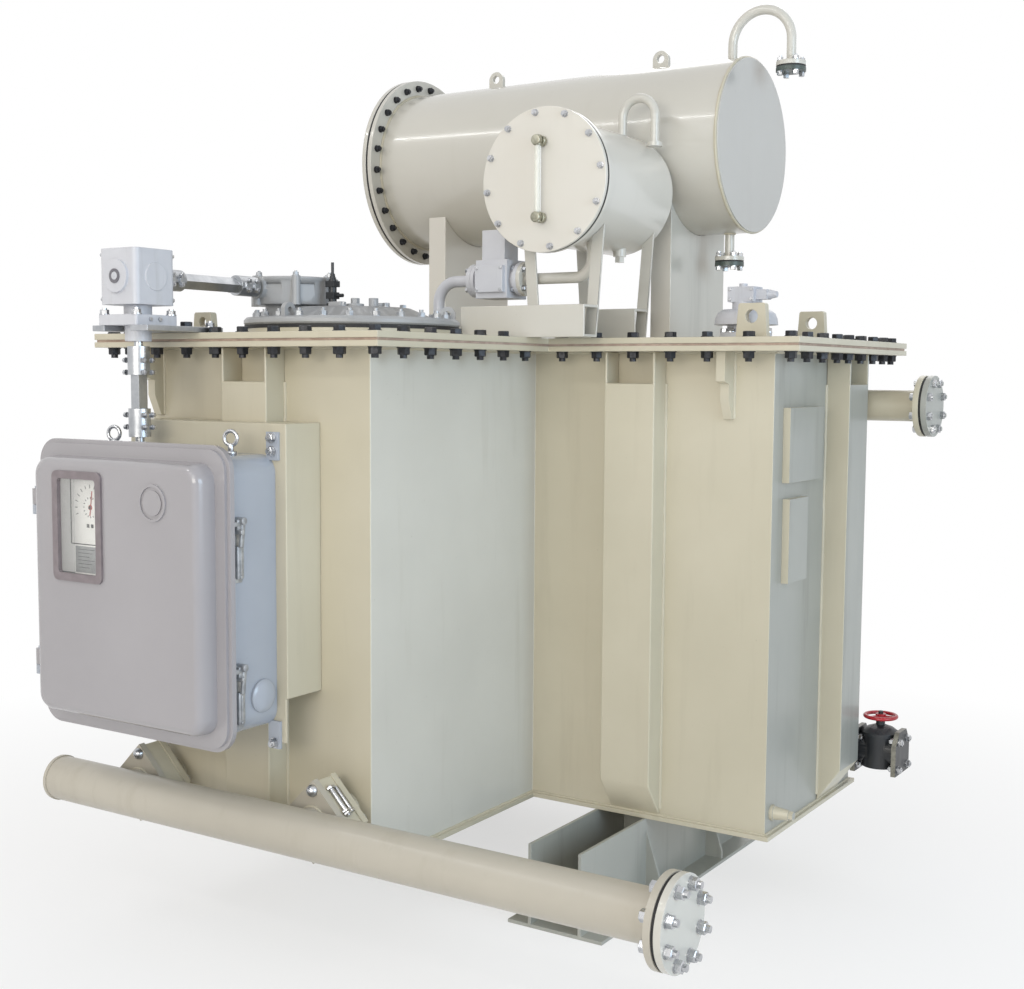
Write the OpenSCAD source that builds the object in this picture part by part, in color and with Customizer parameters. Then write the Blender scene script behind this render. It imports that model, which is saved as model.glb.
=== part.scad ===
// Rectifier transformer: stepped oil tank with bolted cover, two oil conservators,
// on-load tap changer with motor drive, oil header pipe and drain valve.
// Millimetres, +Z up, +X to the right along the long side, +Y to the back.

/* [Tank] */
// overall tank length along X
tank_l = 1455; // [1300:1:1650]
// depth of the main tank along Y
tank_w = 640; // [600:1:760]
// length of the projecting tap changer bay along X
bay_l = 735; // [700:1:800]
// how far the bay stands out of the front wall
bay_d = 745; // [720:1:800]
// height of the tank walls
wall_h = 1265; // [1240:1:1400]
// wall plate thickness
wall_t = 8; // [6:0.5:10]
// bottom plate thickness
bottom_t = 12; // [8:0.5:16]
// bottom plate projection past the walls
bottom_lip = 14; // [8:1:20]
// rim projection past the walls
rim_w = 105; // [90:1:115]
// rim flange thickness
rim_t = 14; // [10:0.5:18]
// cover gasket thickness
gasket_t = 6; // [4:0.5:8]
// gasket set back from the rim edge
gasket_in = 5; // [3:0.5:10]
// cover plate thickness
cover_t = 16; // [12:0.5:20]

/* [Stiffeners] */
// width of the channel stiffeners
stiff_w = 150; // [130:1:160]
// depth of the channel stiffeners
stiff_d = 69; // [55:1:75]
// stiffener plate thickness
stiff_t = 7; // [5:0.5:9]
// height of the bolt access notch under the rim
notch_h = 84; // [70:1:100]
// height of the sloped lower end
slope_h = 96; // [70:1:130]
// place of the front stiffener, from the right corner
stiff_front_x = 384; // [340:1:420]
// place of the bay stiffener, from the left corner
stiff_bay_x = 390; // [360:1:410]
// place of the end wall stiffener, from the back wall
stiff_end_back = 195; // [192:1:210]

/* [Tank fittings] */
// thickness of the rim brackets
bracket_t = 25; // [18:1:30]
// height of the rim brackets
bracket_h = 175; // [150:1:200]
// depth of the rim brackets at the top
bracket_d = 62; // [50:1:70]
// place of the right rim brackets, from the wall corner
bracket_in = 124; // [110:1:140]
// place of the left rim bracket, from the bay corner
bracket_left = 30; // [20:1:40]
// pad plate thickness on the end wall
pad_t = 20; // [14:1:26]
// pad plates, from the front wall
pad_y = 62; // [50:1:75]
// bare wall between the upper pad plate and the stiffener
pad_gap = 72; // [60:1:84]
// drain plug height above the tank bottom
plug_z = 52; // [40:1:70]
// place of the drain plug, from the front wall
plug_y = 42; // [36:1:60]
// drain plug stub length
plug_l = 62; // [50:1:80]

/* [Base rails] */
// height of the base rails
rail_h = 225; // [180:1:260]
// clear width between the two webs of a rail
rail_gap = 140; // [110:1:170]
// web thickness of a rail
rail_t = 10; // [8:0.5:14]
// outward flange width of a rail
rail_flange = 62; // [50:1:75]
// right rail centre line, from the right tank end
rail_in = 424; // [390:1:450]
// left rail centre line, from the left tank end
rail_left = 200; // [170:1:230]
// right rail start in front of the main front wall
rail_front = 366; // [320:1:420]
// left rail start in front of the main front wall
rail_short = 220; // [180:1:240]
// rail end behind the main back wall
rail_back = 10; // [0:1:80]

/* [Oil header] */
// header pipe outer diameter
header_od = 114; // [108:1:121]
// header pipe wall
header_t = 5; // [4:0.5:6]
// header axis in front of the bay wall
header_off = 205; // [195:1:225]
// header axis above the tank bottom
header_z = 127; // [118:1:160]
// header end past the left tank wall
header_left = 175; // [150:1:220]
// header end past the right tank wall
header_right = 185; // [150:1:200]
// header flange outer diameter
flange_od = 200; // [190:1:210]
// header flange bolt circle
flange_pcd = 160; // [156:1:164]
// header flange bolt hole diameter
flange_hole = 18; // [14:0.5:20]
// header flange thickness
flange_t = 16; // [12:0.5:18]
// flange gasket thickness
flange_gasket = 7; // [6:0.5:10]
// branch pipe outer diameter
branch_od = 76; // [70:1:80]
// left branch, from the left tank corner
branch_left = 62; // [56:1:80]
// right branch, from the bay corner
branch_right = 78; // [66:1:90]
// side of the square branch flanges
branch_sq = 146; // [138:1:150]
// branch flange thickness
branch_t = 18; // [14:0.5:20]
// length of the butterfly valve between its flanges
valve_l = 48; // [42:1:54]

/* [Oil outlet] */
// outlet pipe outer diameter
outlet_od = 88; // [80:1:92]
// outlet axis below the rim
outlet_drop = 144; // [125:1:170]
// outlet axis, from the back wall
outlet_back = 52; // [50:1:58]
// length of the outlet pipe
outlet_l = 200; // [190:1:215]
// outlet flange diameter
outlet_flange = 172; // [165:1:180]
// outlet bolt circle
outlet_pcd = 138; // [132:1:142]

/* [Drain valve] */
// valve axis above the tank bottom
drain_z = 120; // [100:1:150]
// valve axis, from the back wall
drain_back = 54; // [50:1:57]
// valve stub pipe outer diameter
drain_od = 60; // [54:1:64]
// valve flange side
drain_sq = 124; // [116:1:128]
// valve length over its flanges
drain_l = 134; // [120:1:140]
// stub length in front of the end wall
drain_stub = 44; // [36:1:50]
// handwheel diameter
wheel_d = 100; // [90:1:110]
// handwheel rim thickness
wheel_rim = 11; // [9:0.5:13]
// valve stem radius
stem_r = 7; // [6:0.5:8]
// running clearance of the hub on the stem
stem_gap = 0.3; // [0.2:0.05:0.5]

/* [Main conservator] */
// shell outer diameter
cons_d = 490; // [460:1:510]
// shell plate thickness
cons_t = 6; // [4:0.5:8]
// left end of the shell, from the left tank wall
cons_left = 31; // [15:1:60]
// right end of the shell, from the tank end wall
cons_right = 262; // [230:1:300]
// axis behind the main front wall
cons_y = 420; // [400:1:430]
// axis above the cover
cons_z = 557; // [540:1:600]
// bolted flange diameter
cons_flange = 590; // [570:1:604]
// bolted flange thickness
cons_flange_t = 14; // [12:0.5:18]
// width of the saddle supports along Y
saddle_w = 360; // [330:1:370]
// depth of the saddle supports along X
saddle_d = 63; // [50:1:70]
// left saddle, from the left tank wall
saddle_in = 186; // [176:1:220]
// right saddle, from the tank end wall
saddle_right = 421; // [405:1:440]
// breather tube diameter
tube_d = 27; // [24:1:30]
// width of the breather bend
bend_w = 178; // [160:1:190]
// height of the breather bend above the shell
bend_h = 44; // [36:1:60]

/* [Tap changer conservator] */
// shell outer diameter
tapc_d = 330; // [320:1:340]
// shell length
tapc_l = 416; // [400:1:418]
// front face, in front of the main front wall
tapc_front = 250; // [245:1:260]
// axis left of the tank end wall
tapc_x = 547; // [535:1:560]
// axis above the cover
tapc_z = 403; // [395:1:410]
// bolted flange diameter
tapc_flange = 372; // [364:1:380]
// bolted flange thickness
tapc_flange_t = 12; // [10:0.5:14]
// height of the base channels
chan_h = 84; // [78:1:88]
// width of the base channels
chan_w = 70; // [66:1:72]
// plate thickness of the stand
stand_t = 7; // [6:0.5:8]
// width of the stand legs
leg_w = 34; // [30:1:40]
// clearance from the front channel to the tap changer flange
chan_gap = 6; // [5:0.5:9]
// rear channel length left of the axis
chan_rear = 150; // [140:1:160]

/* [Tap changer] */
// mounting flange diameter
head_d = 584; // [570:1:588]
// head axis left of the tank end wall
head_x = 1100; // [1090:1:1110]
// head axis in front of the main front wall
head_y = 345; // [335:1:355]
// mounting flange thickness
head_t = 26; // [22:1:30]
// lid diameter
lid_d = 590; // [578:1:600]
// lid rim thickness
lid_t = 20; // [16:1:24]
// lid crown diameter
crown_d = 320; // [310:1:340]
// height of the crown above the lid rim
crown_h = 30; // [26:1:34]
// drive gear casting diameter
gear_d = 248; // [236:1:252]
// drive gear casting height
gear_h = 80; // [76:1:84]
// gear casting, left of the head axis
gear_dx = 160; // [150:1:165]
// gear casting, in front of the head axis
gear_dy = 62; // [55:1:66]

/* [Drive train] */
// reach of the gearbox plate to the left of the shaft
plate_l = 88; // [82:1:94]
// reach of the gearbox plate to the right of the shaft
plate_r = 104; // [98:1:110]
// how far the gearbox plate reaches over the cover
plate_in = 83; // [75:1:90]
// gearbox plate thickness
plate_t = 14; // [12:0.5:16]
// slot width in the gearbox plate
plate_slot = 92; // [86:1:98]
// side of the square gearbox foot
foot_sq = 134; // [126:1:140]
// thickness of the square gearbox foot
foot_t = 26; // [22:1:30]
// side of the bevel gearbox
bevel_w = 128; // [120:1:132]
// height of the bevel gearbox
bevel_h = 136; // [128:1:144]
// bevel gearbox floor above the cover
bevel_z = 64; // [60:1:70]
// drive axis left of the tank end wall
drive_x = 1281; // [1274:1:1290]
// square drive tube side
tube_sq = 28; // [25:1:30]
// coupling diameter
coup_d = 54; // [50:1:58]
// coupling length
coup_l = 70; // [60:1:72]
// shaft stub radius
stub_r = 11; // [9:0.5:12]
// running clearance of the shaft stubs
stub_gap = 0.4; // [0.3:0.05:0.6]

/* [Motor drive cabinet] */
// door width over its lip
door_w = 652; // [630:1:662]
// door height over its lip
door_h = 718; // [690:1:730]
// cabinet centre, left of the tank end wall
cab_x = 1208; // [1202:1:1214]
// cabinet centre height as a share of the wall height
cab_share = 0.5352; // [0.5300:0.0004:0.5400]
// how far the door lip overlaps the housing sides
lip_out = 28; // [24:1:32]
// depth of the housing
house_d = 166; // [150:1:172]
// housing wall thickness
house_t = 5; // [4:0.5:6]
// door lip thickness
lip_t = 22; // [18:1:26]
// depth of the dished door in front of the lip
dish_d = 54; // [46:1:60]
// width of the flat door lip
lip_w = 40; // [34:1:44]
// door shell thickness
door_t = 5; // [4:0.5:6]
// gap between door lip and housing
door_gap = 2; // [1.5:0.5:3]
// corner radius of the housing
corner_r = 46; // [40:1:52]
// depth of the mounting bracket on the bay wall
cab_stand = 125; // [118:1:132]
// bracket plate thickness
cab_plate = 8; // [6:0.5:10]
// width of the window opening
win_w = 134; // [120:1:140]
// height of the window opening
win_h = 230; // [215:1:240]
// window frame bar width
win_bar = 19; // [16:1:22]
// hinge pin radius
pin_r = 6; // [5:0.5:7]
// hinge running clearance
pin_gap = 0.4; // [0.3:0.05:0.6]

/* [Pressure relief] */
// bell diameter
relief_d = 168; // [156:1:174]
// height of the bell above the cover
relief_h = 78; // [72:1:84]

/* [Cover lugs] */
// width of a lifting lug
lug_w = 86; // [78:1:92]
// height of a lifting lug
lug_h = 88; // [80:1:94]
// thickness of a lifting lug
lug_t = 22; // [18:1:26]
// eye diameter of a lifting lug
lug_eye = 34; // [28:1:38]

/* [Hidden] */
$fn = 64;
step_x = tank_l - bay_l;
stiff_end_y = tank_w - stiff_end_back;
pad_w = stiff_end_y - stiff_w / 2 - pad_y - pad_gap;
cab_z = wall_h * cab_share;
cover_z = wall_h + rim_t + gasket_t;
top_z = cover_z + cover_t;
header_y = -bay_d - header_off;
flange_x = header_right;
blind_x = flange_x + flange_t + flange_gasket;
branch_xs = [-tank_l + branch_left, -step_x - branch_right];
branch_y1 = -bay_d - (header_off - valve_l) / 2 + 18;
outlet_z = wall_h - outlet_drop;
outlet_y = tank_w - outlet_back;
drain_y = tank_w - drain_back;
cons_cz = top_z + cons_z;
cons_x0 = -tank_l + cons_left;
cons_l = tank_l - cons_right - cons_left;
tapc_cz = top_z + tapc_z;
tapc_y0 = -tapc_front + 2 * tapc_flange_t + flange_gasket;
tapc_y1 = -tapc_front + tapc_l;
stand_ys = [tapc_y0 + 2, tapc_y1 - 103];
chan_dy = max(stand_ys[0] + head_y, 0);
chan_front = head_x - tapc_x - sqrt(max(pow(lid_d / 2 + chan_gap, 2) - pow(chan_dy, 2), 0));
leg_x = 86;
relay_y = stand_ys[0] + chan_w + 31;
relay_z = top_z + 160;
relay_x0 = -tapc_x - 290;
relay_l = 150;
relay_r = 46;
foot_r = lid_d / 2 - 33;
foot_x = -head_x + sqrt(pow(foot_r, 2) - pow(relay_y + head_y, 2));
seat = 0.3;
stud_l = 14;
glass_t = 4;
drive_y = -bay_d - cab_stand - house_d / 2;
gear_cx = -head_x - gear_dx;
gear_cy = -head_y - gear_dy;
lid_z = top_z + head_t + 3;
gear_z = lid_z + lid_t + crown_h + 6;
crown_r = crown_d / 2;
cone_r = lid_d / 2 - 63;
hdrive_z = top_z + bevel_z + bevel_h / 2;
house_y0 = -bay_d - cab_stand;
house_y1 = house_y0 - house_d;
house_w = door_w - 2 * lip_out;
house_h = door_h - 2 * lip_out;
house_top = cab_z + house_h / 2;
lip_y = house_y1 - door_gap;
dish_w = door_w - 2 * lip_w;
dish_h = door_h - 2 * lip_w;
win_x = -cab_x - 116;
win_z = cab_z + 152;
hinge_x = -cab_x - door_w / 2 - 18;
hinge_y = lip_y - lip_t / 2;
hinge_zs = [cab_z - 205, cab_z + 205];
bevel_z0 = top_z + bevel_z;
plate_y1 = -bay_d - rim_w + plate_in;
foot_z = top_z + plate_t;
boss_z = foot_z - 38;
lug_lx = -tank_l + 110;
lug_dx = -lug_lx - head_x - lug_w * 0.42;
lug_ly = (plate_y1 - head_y - sqrt(max(pow(lid_d / 2, 2) - pow(lug_dx, 2), 0))) / 2;
wheel_z = drain_z + 97;
x_lo = -tank_l - header_left;
x_hi = outlet_l + 2 * flange_t + flange_gasket + stud_l;
y_lo = lip_y - lip_t - dish_d - 6;
y_hi = tank_w + rim_w;
mid_x = (x_lo + x_hi) / 2;
mid_y = (y_lo + y_hi) / 2;
base_z = rail_h + bottom_t;

// sub-parts in build order

cream = [0.80, 0.78, 0.68];
grey = [0.66, 0.68, 0.71];
lilac = [0.68, 0.68, 0.72];
dark = [0.12, 0.12, 0.13];
zinc = [0.70, 0.71, 0.72];
red = [0.72, 0.10, 0.08];
brassy = [0.72, 0.66, 0.45];
clear = [0.8, 0.86, 0.88, 0.4];

// stepped plan outline grown by g
function plan(g) = [[g, -g], [g, tank_w + g], [-tank_l - g, tank_w + g],
  [-tank_l - g, -bay_d - g], [-step_x + g, -bay_d - g], [-step_x + g, -g]];

module placed() {
  translate([-mid_x, -mid_y, base_z]) children();
}

// cylinder from a point along +X
module xcyl(r, l) {
  rotate([0, 90, 0]) cylinder(r = r, h = l);
}

// cylinder from a point along +Y
module ycyl(r, l) {
  rotate([-90, 0, 0]) cylinder(r = r, h = l);
}

// rounded rectangle in the plane, centred
module rrect(w, h, r) {
  square([w - 2 * r, h], center = true);
  square([w, h - 2 * r], center = true);
  for (sx = [-1, 1], sy = [-1, 1])
    translate([sx * (w / 2 - r), sy * (h / 2 - r)]) circle(r = r);
}

// plate in the X-Z plane from y, running l towards the front
module front_plate(y, l) {
  translate([0, y, 0]) rotate([90, 0, 0]) linear_extrude(height = l) children();
}

// ring of n holes or bolts around Z
module ring(n, d, turn = 0) {
  for (i = [0 : n - 1])
    rotate([0, 0, turn + i * 360 / n]) translate([d / 2, 0, 0]) children();
}

module base_rails() {
  w = rail_gap / 2;
  wide = w + rail_t + rail_flange;
  color(cream)
  for (rail = [[-rail_in, rail_front], [-tank_l + rail_left, rail_short]]) {
    l = rail[1] + tank_w + rail_back;
    translate([rail[0], -rail[1], -bottom_t - rail_h]) {
      translate([-wide, 0, 0]) cube([2 * wide, l, rail_t]);
      for (s = [0, 1]) mirror([s, 0, 0]) {
        translate([w, 0, 0]) cube([rail_t, l, rail_h]);
        for (y = [l * 0.36, l * 0.74])
          translate([w + rail_t, y, rail_t]) rotate([90, 0, 0])
            linear_extrude(height = rail_t)
              polygon([[0, 0], [rail_flange - 8, 0], [rail_flange - 8, 20], [0, rail_h - 40]]);
      }
      for (y = [l / 2, l - 50])
        translate([-w, y, 0]) cube([2 * w, rail_t, rail_h - 30]);
    }
  }
}

module tank_bottom() {
  color(cream)
  translate([0, 0, -bottom_t]) linear_extrude(height = bottom_t) polygon(plan(bottom_lip));
}

module tank_walls() {
  color(cream)
  linear_extrude(height = wall_h)
    difference() {
      polygon(plan(0));
      polygon(plan(-wall_t));
    }
}

// one channel stiffener standing on a wall at y = 0, outside towards -Y
module stiffener() {
  d = stiff_d;
  t = stiff_t;
  in_w = stiff_w - 2 * t;
  difference() {
    translate([-stiff_w / 2, 0, 0]) rotate([90, 0, 90])
      linear_extrude(height = stiff_w)
        polygon([[0, 0], [-d, slope_h], [-d, wall_h], [0, wall_h]]);
    translate([-in_w / 2, 0, 0]) rotate([90, 0, 90])
      linear_extrude(height = in_w)
        polygon([[1, 2 * t], [-d + t, slope_h + 2 * t], [-d + t, wall_h - notch_h - t],
          [1, wall_h - notch_h - t]]);
    translate([-in_w / 2, -d - 1, wall_h - notch_h]) cube([in_w, d + 2, notch_h + 1]);
  }
}

module tank_stiffeners() {
  color(cream) {
    translate([-stiff_front_x, 0, 0]) stiffener();
    translate([-tank_l + stiff_bay_x, -bay_d, 0]) stiffener();
    translate([0, stiff_end_y, 0]) rotate([0, 0, 90]) stiffener();
    translate([-tank_l, stiff_end_y, 0]) rotate([0, 0, -90]) stiffener();
    translate([-tank_l, -bay_d * 0.4, 0]) rotate([0, 0, -90]) stiffener();
    for (x = [-stiff_front_x, -tank_l + stiff_bay_x])
      translate([x, tank_w, 0]) rotate([0, 0, 180]) stiffener();
  }
}

// hooked bracket under the rim on a wall at y = 0, outside towards -Y
module rim_bracket() {
  d = bracket_d;
  h = bracket_h;
  translate([-bracket_t / 2, 0, wall_h - h]) rotate([90, 0, 90])
    linear_extrude(height = bracket_t)
      polygon([[0, 0], [-12, 0], [-d * 0.55, h * 0.3], [-d * 0.55, h * 0.52],
        [-d, h * 0.56], [-d, h], [0, h]]);
}

// flanged stub on the bay wall for a header branch
module branch_stub() {
  y_stub = -(bay_d + branch_y1) - branch_t;
  difference() {
    union() {
      translate([0, -y_stub, 0]) ycyl(branch_od / 2, y_stub);
      front_plate(-y_stub, branch_t) rotate(45) square(branch_sq, center = true);
    }
    translate([0, -y_stub - branch_t - 1, 0]) ycyl(branch_od / 2 - 5, y_stub + branch_t + 2);
  }
}

module tank_fittings() {
  color(cream) {
    translate([-bracket_in, 0, 0]) rim_bracket();
    translate([-tank_l + bracket_left, -bay_d, 0]) rim_bracket();
    for (x = [-bracket_in, -tank_l + bracket_in])
      translate([x, tank_w, 0]) rotate([0, 0, 180]) rim_bracket();
    translate([0, pad_y, wall_h - 340]) cube([pad_t, pad_w, 196]);
    translate([0, pad_y + 8, wall_h - 605]) cube([pad_t, pad_w * 0.56, 222]);
    translate([0, plug_y, plug_z]) {
      xcyl(21, 10);
      translate([10, 0, 0]) rotate([0, 90, 0]) cylinder(r1 = 18, r2 = 13, h = plug_l - 22);
      translate([plug_l - 12, 0, 0]) rotate([0, 90, 0]) cylinder(r = 12, h = 12, $fn = 6);
    }
    for (x = branch_xs) translate([x, -bay_d, header_z]) branch_stub();
  }
}

module tank_rim() {
  color(cream)
  translate([0, 0, wall_h]) linear_extrude(height = rim_t)
    difference() {
      polygon(plan(rim_w));
      polygon(plan(-wall_t));
    }
}

module cover_gasket() {
  color(dark)
  translate([0, 0, wall_h + rim_t]) linear_extrude(height = gasket_t)
    difference() {
      polygon(plan(rim_w - gasket_in));
      polygon(plan(8));
    }
}

module tank_cover() {
  color(cream)
  translate([0, 0, cover_z]) linear_extrude(height = cover_t) polygon(plan(rim_w));
}

// lifting lug standing on the cover, eye along Y
module lug(w, h, eye) {
  front_plate(lug_t / 2, lug_t)
    difference() {
      polygon([[-w / 2, 0], [w / 2, 0], [w / 2 - 6, h - 4], [w / 2 - 10, h], [10 - w / 2, h],
        [6 - w / 2, h - 4]]);
      translate([0, h - eye]) circle(d = eye);
    }
}

module cover_lugs() {
  color(cream)
  {
    for (p = [[-62, -4], [-102, tank_w - 120], [-tank_l + 72, tank_w - 120]])
      translate([p[0], p[1], top_z]) lug(lug_w, lug_h, lug_eye);
    translate([lug_lx, lug_ly, top_z]) lug(lug_w * 0.84, lug_h * 0.68, lug_eye * 0.76);
  }
}

module header_pipe() {
  r = header_od / 2;
  l = tank_l + header_left + flange_x + flange_t;
  y_f = branch_y1 - valve_l - branch_t;
  color(cream)
  translate([0, header_y, header_z])
    difference() {
      union() {
        translate([x_lo + 26, 0, 0]) xcyl(r, l - 26);
        translate([x_lo, 0, 0]) rotate([0, 90, 0])
          rotate_extrude() polygon([[0, 0], [r * 0.5, 3], [r * 0.82, 10], [r, 26], [0, 26]]);
        translate([x_lo + 24, 0, 0]) xcyl(r + 2.5, 9);
        translate([flange_x, 0, 0]) xcyl(flange_od / 2, flange_t);
        for (x = branch_xs) translate([x, 0, 0]) {
          ycyl(branch_od / 2, y_f - header_y + branch_t / 2);
          front_plate(y_f - header_y + branch_t, branch_t) rotate(45)
            square(branch_sq, center = true);
        }
      }
      translate([x_lo + 34, 0, 0]) xcyl(r - header_t, l);
      for (x = branch_xs) translate([x, 0, 0]) ycyl(branch_od / 2 - 5, header_off);
      translate([flange_x - 1, 0, 0]) rotate([0, 90, 0])
        ring(8, flange_pcd, 22.5) cylinder(d = flange_hole, h = flange_t + 2);
    }
}

module header_blind() {
  color(cream)
  translate([blind_x, header_y, header_z]) rotate([0, 90, 0])
    difference() {
      union() {
        cylinder(d = flange_od, h = flange_t);
        translate([0, 0, -flange_gasket])
          cylinder(d = flange_pcd - flange_hole - 6, h = flange_gasket + 1);
      }
      translate([0, 0, -1]) ring(8, flange_pcd, 22.5) cylinder(d = flange_hole, h = flange_t + 2);
    }
}

// butterfly valve block clamped between two square flanges
module header_valves() {
  color(cream)
  for (x = branch_xs)
    translate([x, branch_y1, header_z]) {
      difference() {
        front_plate(0, valve_l) rotate(45) square(branch_sq - 6, center = true);
        translate([0, -valve_l - 1, 0]) ycyl(branch_od / 2 - 5, valve_l + 2);
      }
      translate([0, -valve_l / 2 - 4, 0]) ycyl(branch_od / 2 - 5, 8);
    }
}

module outlet_pipe() {
  color(cream)
  translate([0, outlet_y, outlet_z])
    difference() {
      union() {
        xcyl(outlet_od / 2, outlet_l);
        translate([outlet_l, 0, 0]) xcyl(outlet_flange / 2, flange_t);
      }
      translate([-1, 0, 0]) xcyl(outlet_od / 2 - 5, outlet_l + flange_t + 2);
    }
}

module outlet_blind() {
  color(cream)
  translate([outlet_l + flange_t, outlet_y, outlet_z]) rotate([0, 90, 0]) {
    cylinder(d = outlet_pcd - 26, h = flange_gasket);
    translate([0, 0, flange_gasket]) cylinder(d = outlet_flange, h = flange_t);
    translate([0, 0, flange_gasket + flange_t])
      ring(8, outlet_pcd, 22.5) {
        cylinder(r = 11, h = stud_l - 5, $fn = 6);
        cylinder(r = 6, h = stud_l);
      }
  }
}

// valve flange in the Y-Z plane with cut upper corners
module drain_flange(l) {
  h = drain_sq / 2;
  rotate([90, 0, 90]) linear_extrude(height = l)
    polygon([[-h, -h], [h, -h], [h, h - 38], [h - 30, h], [30 - h, h], [-h, h - 38]]);
}

module drain_valve() {
  b = drain_l / 2;
  f = 14;
  color(dark)
  translate([drain_stub, drain_y, drain_z]) {
    translate([-drain_stub, 0, 0]) xcyl(drain_od / 2, drain_stub);
    drain_flange(f);
    translate([drain_l - f, 0, 0]) drain_flange(f);
    translate([f, 0, 0]) xcyl(drain_od / 2 + 14, drain_l - 2 * f);
    translate([b, 0, -50]) cylinder(r = 50, h = 92);
    translate([b, 0, 42]) cylinder(r = 54, h = 10);
    translate([b, 0, 52]) cylinder(r1 = 54, r2 = 38, h = 12);
    translate([b, 0, 64]) cylinder(r1 = 38, r2 = 16, h = 8);
    translate([b, 0, 72]) cylinder(r = 13, h = 14);
    translate([b, 0, 86]) cylinder(r = stem_r, h = 26);
  }
}

module drain_handwheel() {
  r = wheel_d / 2 - wheel_rim / 2;
  color(red)
  translate([drain_stub + drain_l / 2, drain_y, wheel_z])
    difference() {
      union() {
        rotate_extrude() translate([r, 0]) circle(d = wheel_rim, $fn = 32);
        translate([0, 0, -7]) cylinder(r = 15, h = 14);
        ring(3, 0) translate([12, -4, -3]) cube([r - 13, 8, 6]);
      }
      translate([0, 0, -8]) cylinder(r = stem_r + stem_gap, h = 16);
    }
}

module conservator_shell() {
  r = cons_d / 2;
  f = cons_flange_t;
  color(cream)
  translate([0, cons_y, cons_cz]) {
    difference() {
      union() {
        translate([cons_x0, 0, 0]) xcyl(r, cons_l);
        translate([cons_x0, 0, 0]) xcyl(cons_flange / 2, f);
      }
      translate([cons_x0 - 1, 0, 0]) xcyl(r - cons_t, cons_l + 2);
    }
    for (x = [-cons_right - 290, cons_x0 + 290])
      front_plate(7, 14) translate([x, r - 3]) difference() {
        union() {
          translate([-26, 0]) square([52, 30]);
          translate([0, 30]) circle(r = 26);
        }
        translate([0, 32]) circle(r = 12);
      }
  }
}

module conservator_end() {
  color(cream)
  translate([-cons_right, cons_y, cons_cz]) xcyl(cons_d / 2 - 2, 8);
}

module conservator_cover() {
  color(cream)
  translate([cons_x0, cons_y, cons_cz]) rotate([0, -90, 0]) {
    cylinder(d = cons_flange - 70, h = flange_gasket);
    translate([0, 0, flange_gasket]) cylinder(d = cons_flange, h = cons_flange_t);
  }
}

module conservator_supports() {
  color(cream)
  for (x = [-tank_l + saddle_in, -saddle_right - saddle_d])
    difference() {
      translate([x, cons_y - saddle_w / 2, top_z])
        difference() {
          cube([saddle_d, saddle_w, cons_z]);
          translate([-1, 9, 12]) cube([saddle_d - 8, saddle_w - 18, cons_z]);
        }
      translate([x - 1, cons_y, cons_cz]) xcyl(cons_d / 2 + seat, saddle_d + 2);
    }
}

// inverted U bend in the X-Z plane, legs a and b long
module u_bend(w, a, b, d) {
  cylinder(d = d, h = a);
  translate([w / 2, 0, a]) rotate([90, 0, 0])
    rotate_extrude(angle = 180) translate([w / 2, 0]) circle(d = d, $fn = 32);
  translate([w, 0, a - b]) cylinder(d = d, h = b);
}

module conservator_breather() {
  h = bend_h;
  color(cream)
  translate([-cons_right - 62, cons_y, cons_cz + cons_d / 2 - 2]) {
    difference() {
      u_bend(bend_w, h, h + 20, tube_d);
      translate([-60, 0, 2 - cons_d / 2]) xcyl(cons_d / 2 + seat, 120);
    }
    translate([bend_w, 0, -32]) cylinder(d = 84, h = 12);
    translate([bend_w, 0, -48]) cylinder(d = 84, h = 12);
    translate([bend_w, 0, -36]) cylinder(d = 50, h = 4);
  }
}

module conservator_drain() {
  z = cons_cz - cons_d / 2;
  color(cream)
  translate([-cons_right - 60, cons_y, z - 78]) {
    difference() {
      cylinder(d = tube_d, h = 82);
      translate([-60, 0, 78 + cons_d / 2]) xcyl(cons_d / 2 + seat, 120);
    }
    cylinder(d = 84, h = 12);
    translate([0, 0, -4]) cylinder(d = 50, h = 4);
    translate([0, 0, -16]) cylinder(d = 84, h = 12);
  }
}

module tap_conservator_shell() {
  r = tapc_d / 2;
  color(cream)
  translate([-tapc_x, 0, tapc_cz]) {
    difference() {
      union() {
        translate([0, tapc_y0 - tapc_flange_t, 0]) ycyl(r, tapc_y1 - tapc_y0 + tapc_flange_t);
        translate([0, tapc_y0 - tapc_flange_t, 0]) ycyl(tapc_flange / 2, tapc_flange_t);
        translate([45, tapc_y1 - 81, -r - 10]) cylinder(r = 18, h = 60);
        translate([45, tapc_y1 - 81, -r - 26]) cylinder(r = 14, h = 17, $fn = 6);
      }
      translate([0, tapc_y0 - tapc_flange_t - 1, 0]) ycyl(r - cons_t, tapc_y1 - tapc_y0 + 4);
    }
  }
}

module tap_conservator_cover() {
  y = tapc_y0 - tapc_flange_t - flange_gasket;
  color(cream)
  translate([-tapc_x, y, tapc_cz]) {
    translate([0, -tapc_flange_t, 0]) ycyl(tapc_flange / 2, tapc_flange_t);
    ycyl(tapc_flange / 2 - 7, flange_gasket);
  }
}

// leg in the X-Z plane leaning from the channel out to the shell
module stand_leg(y) {
  z0 = top_z;
  front_plate(y + chan_w + stand_t, stand_t)
    polygon([[leg_x - leg_w / 2, z0], [leg_x + leg_w / 2, z0], [leg_x + leg_w / 2 + 26, tapc_cz - 60],
      [leg_x - leg_w / 2 + 26, tapc_cz - 60]]);
}

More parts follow.
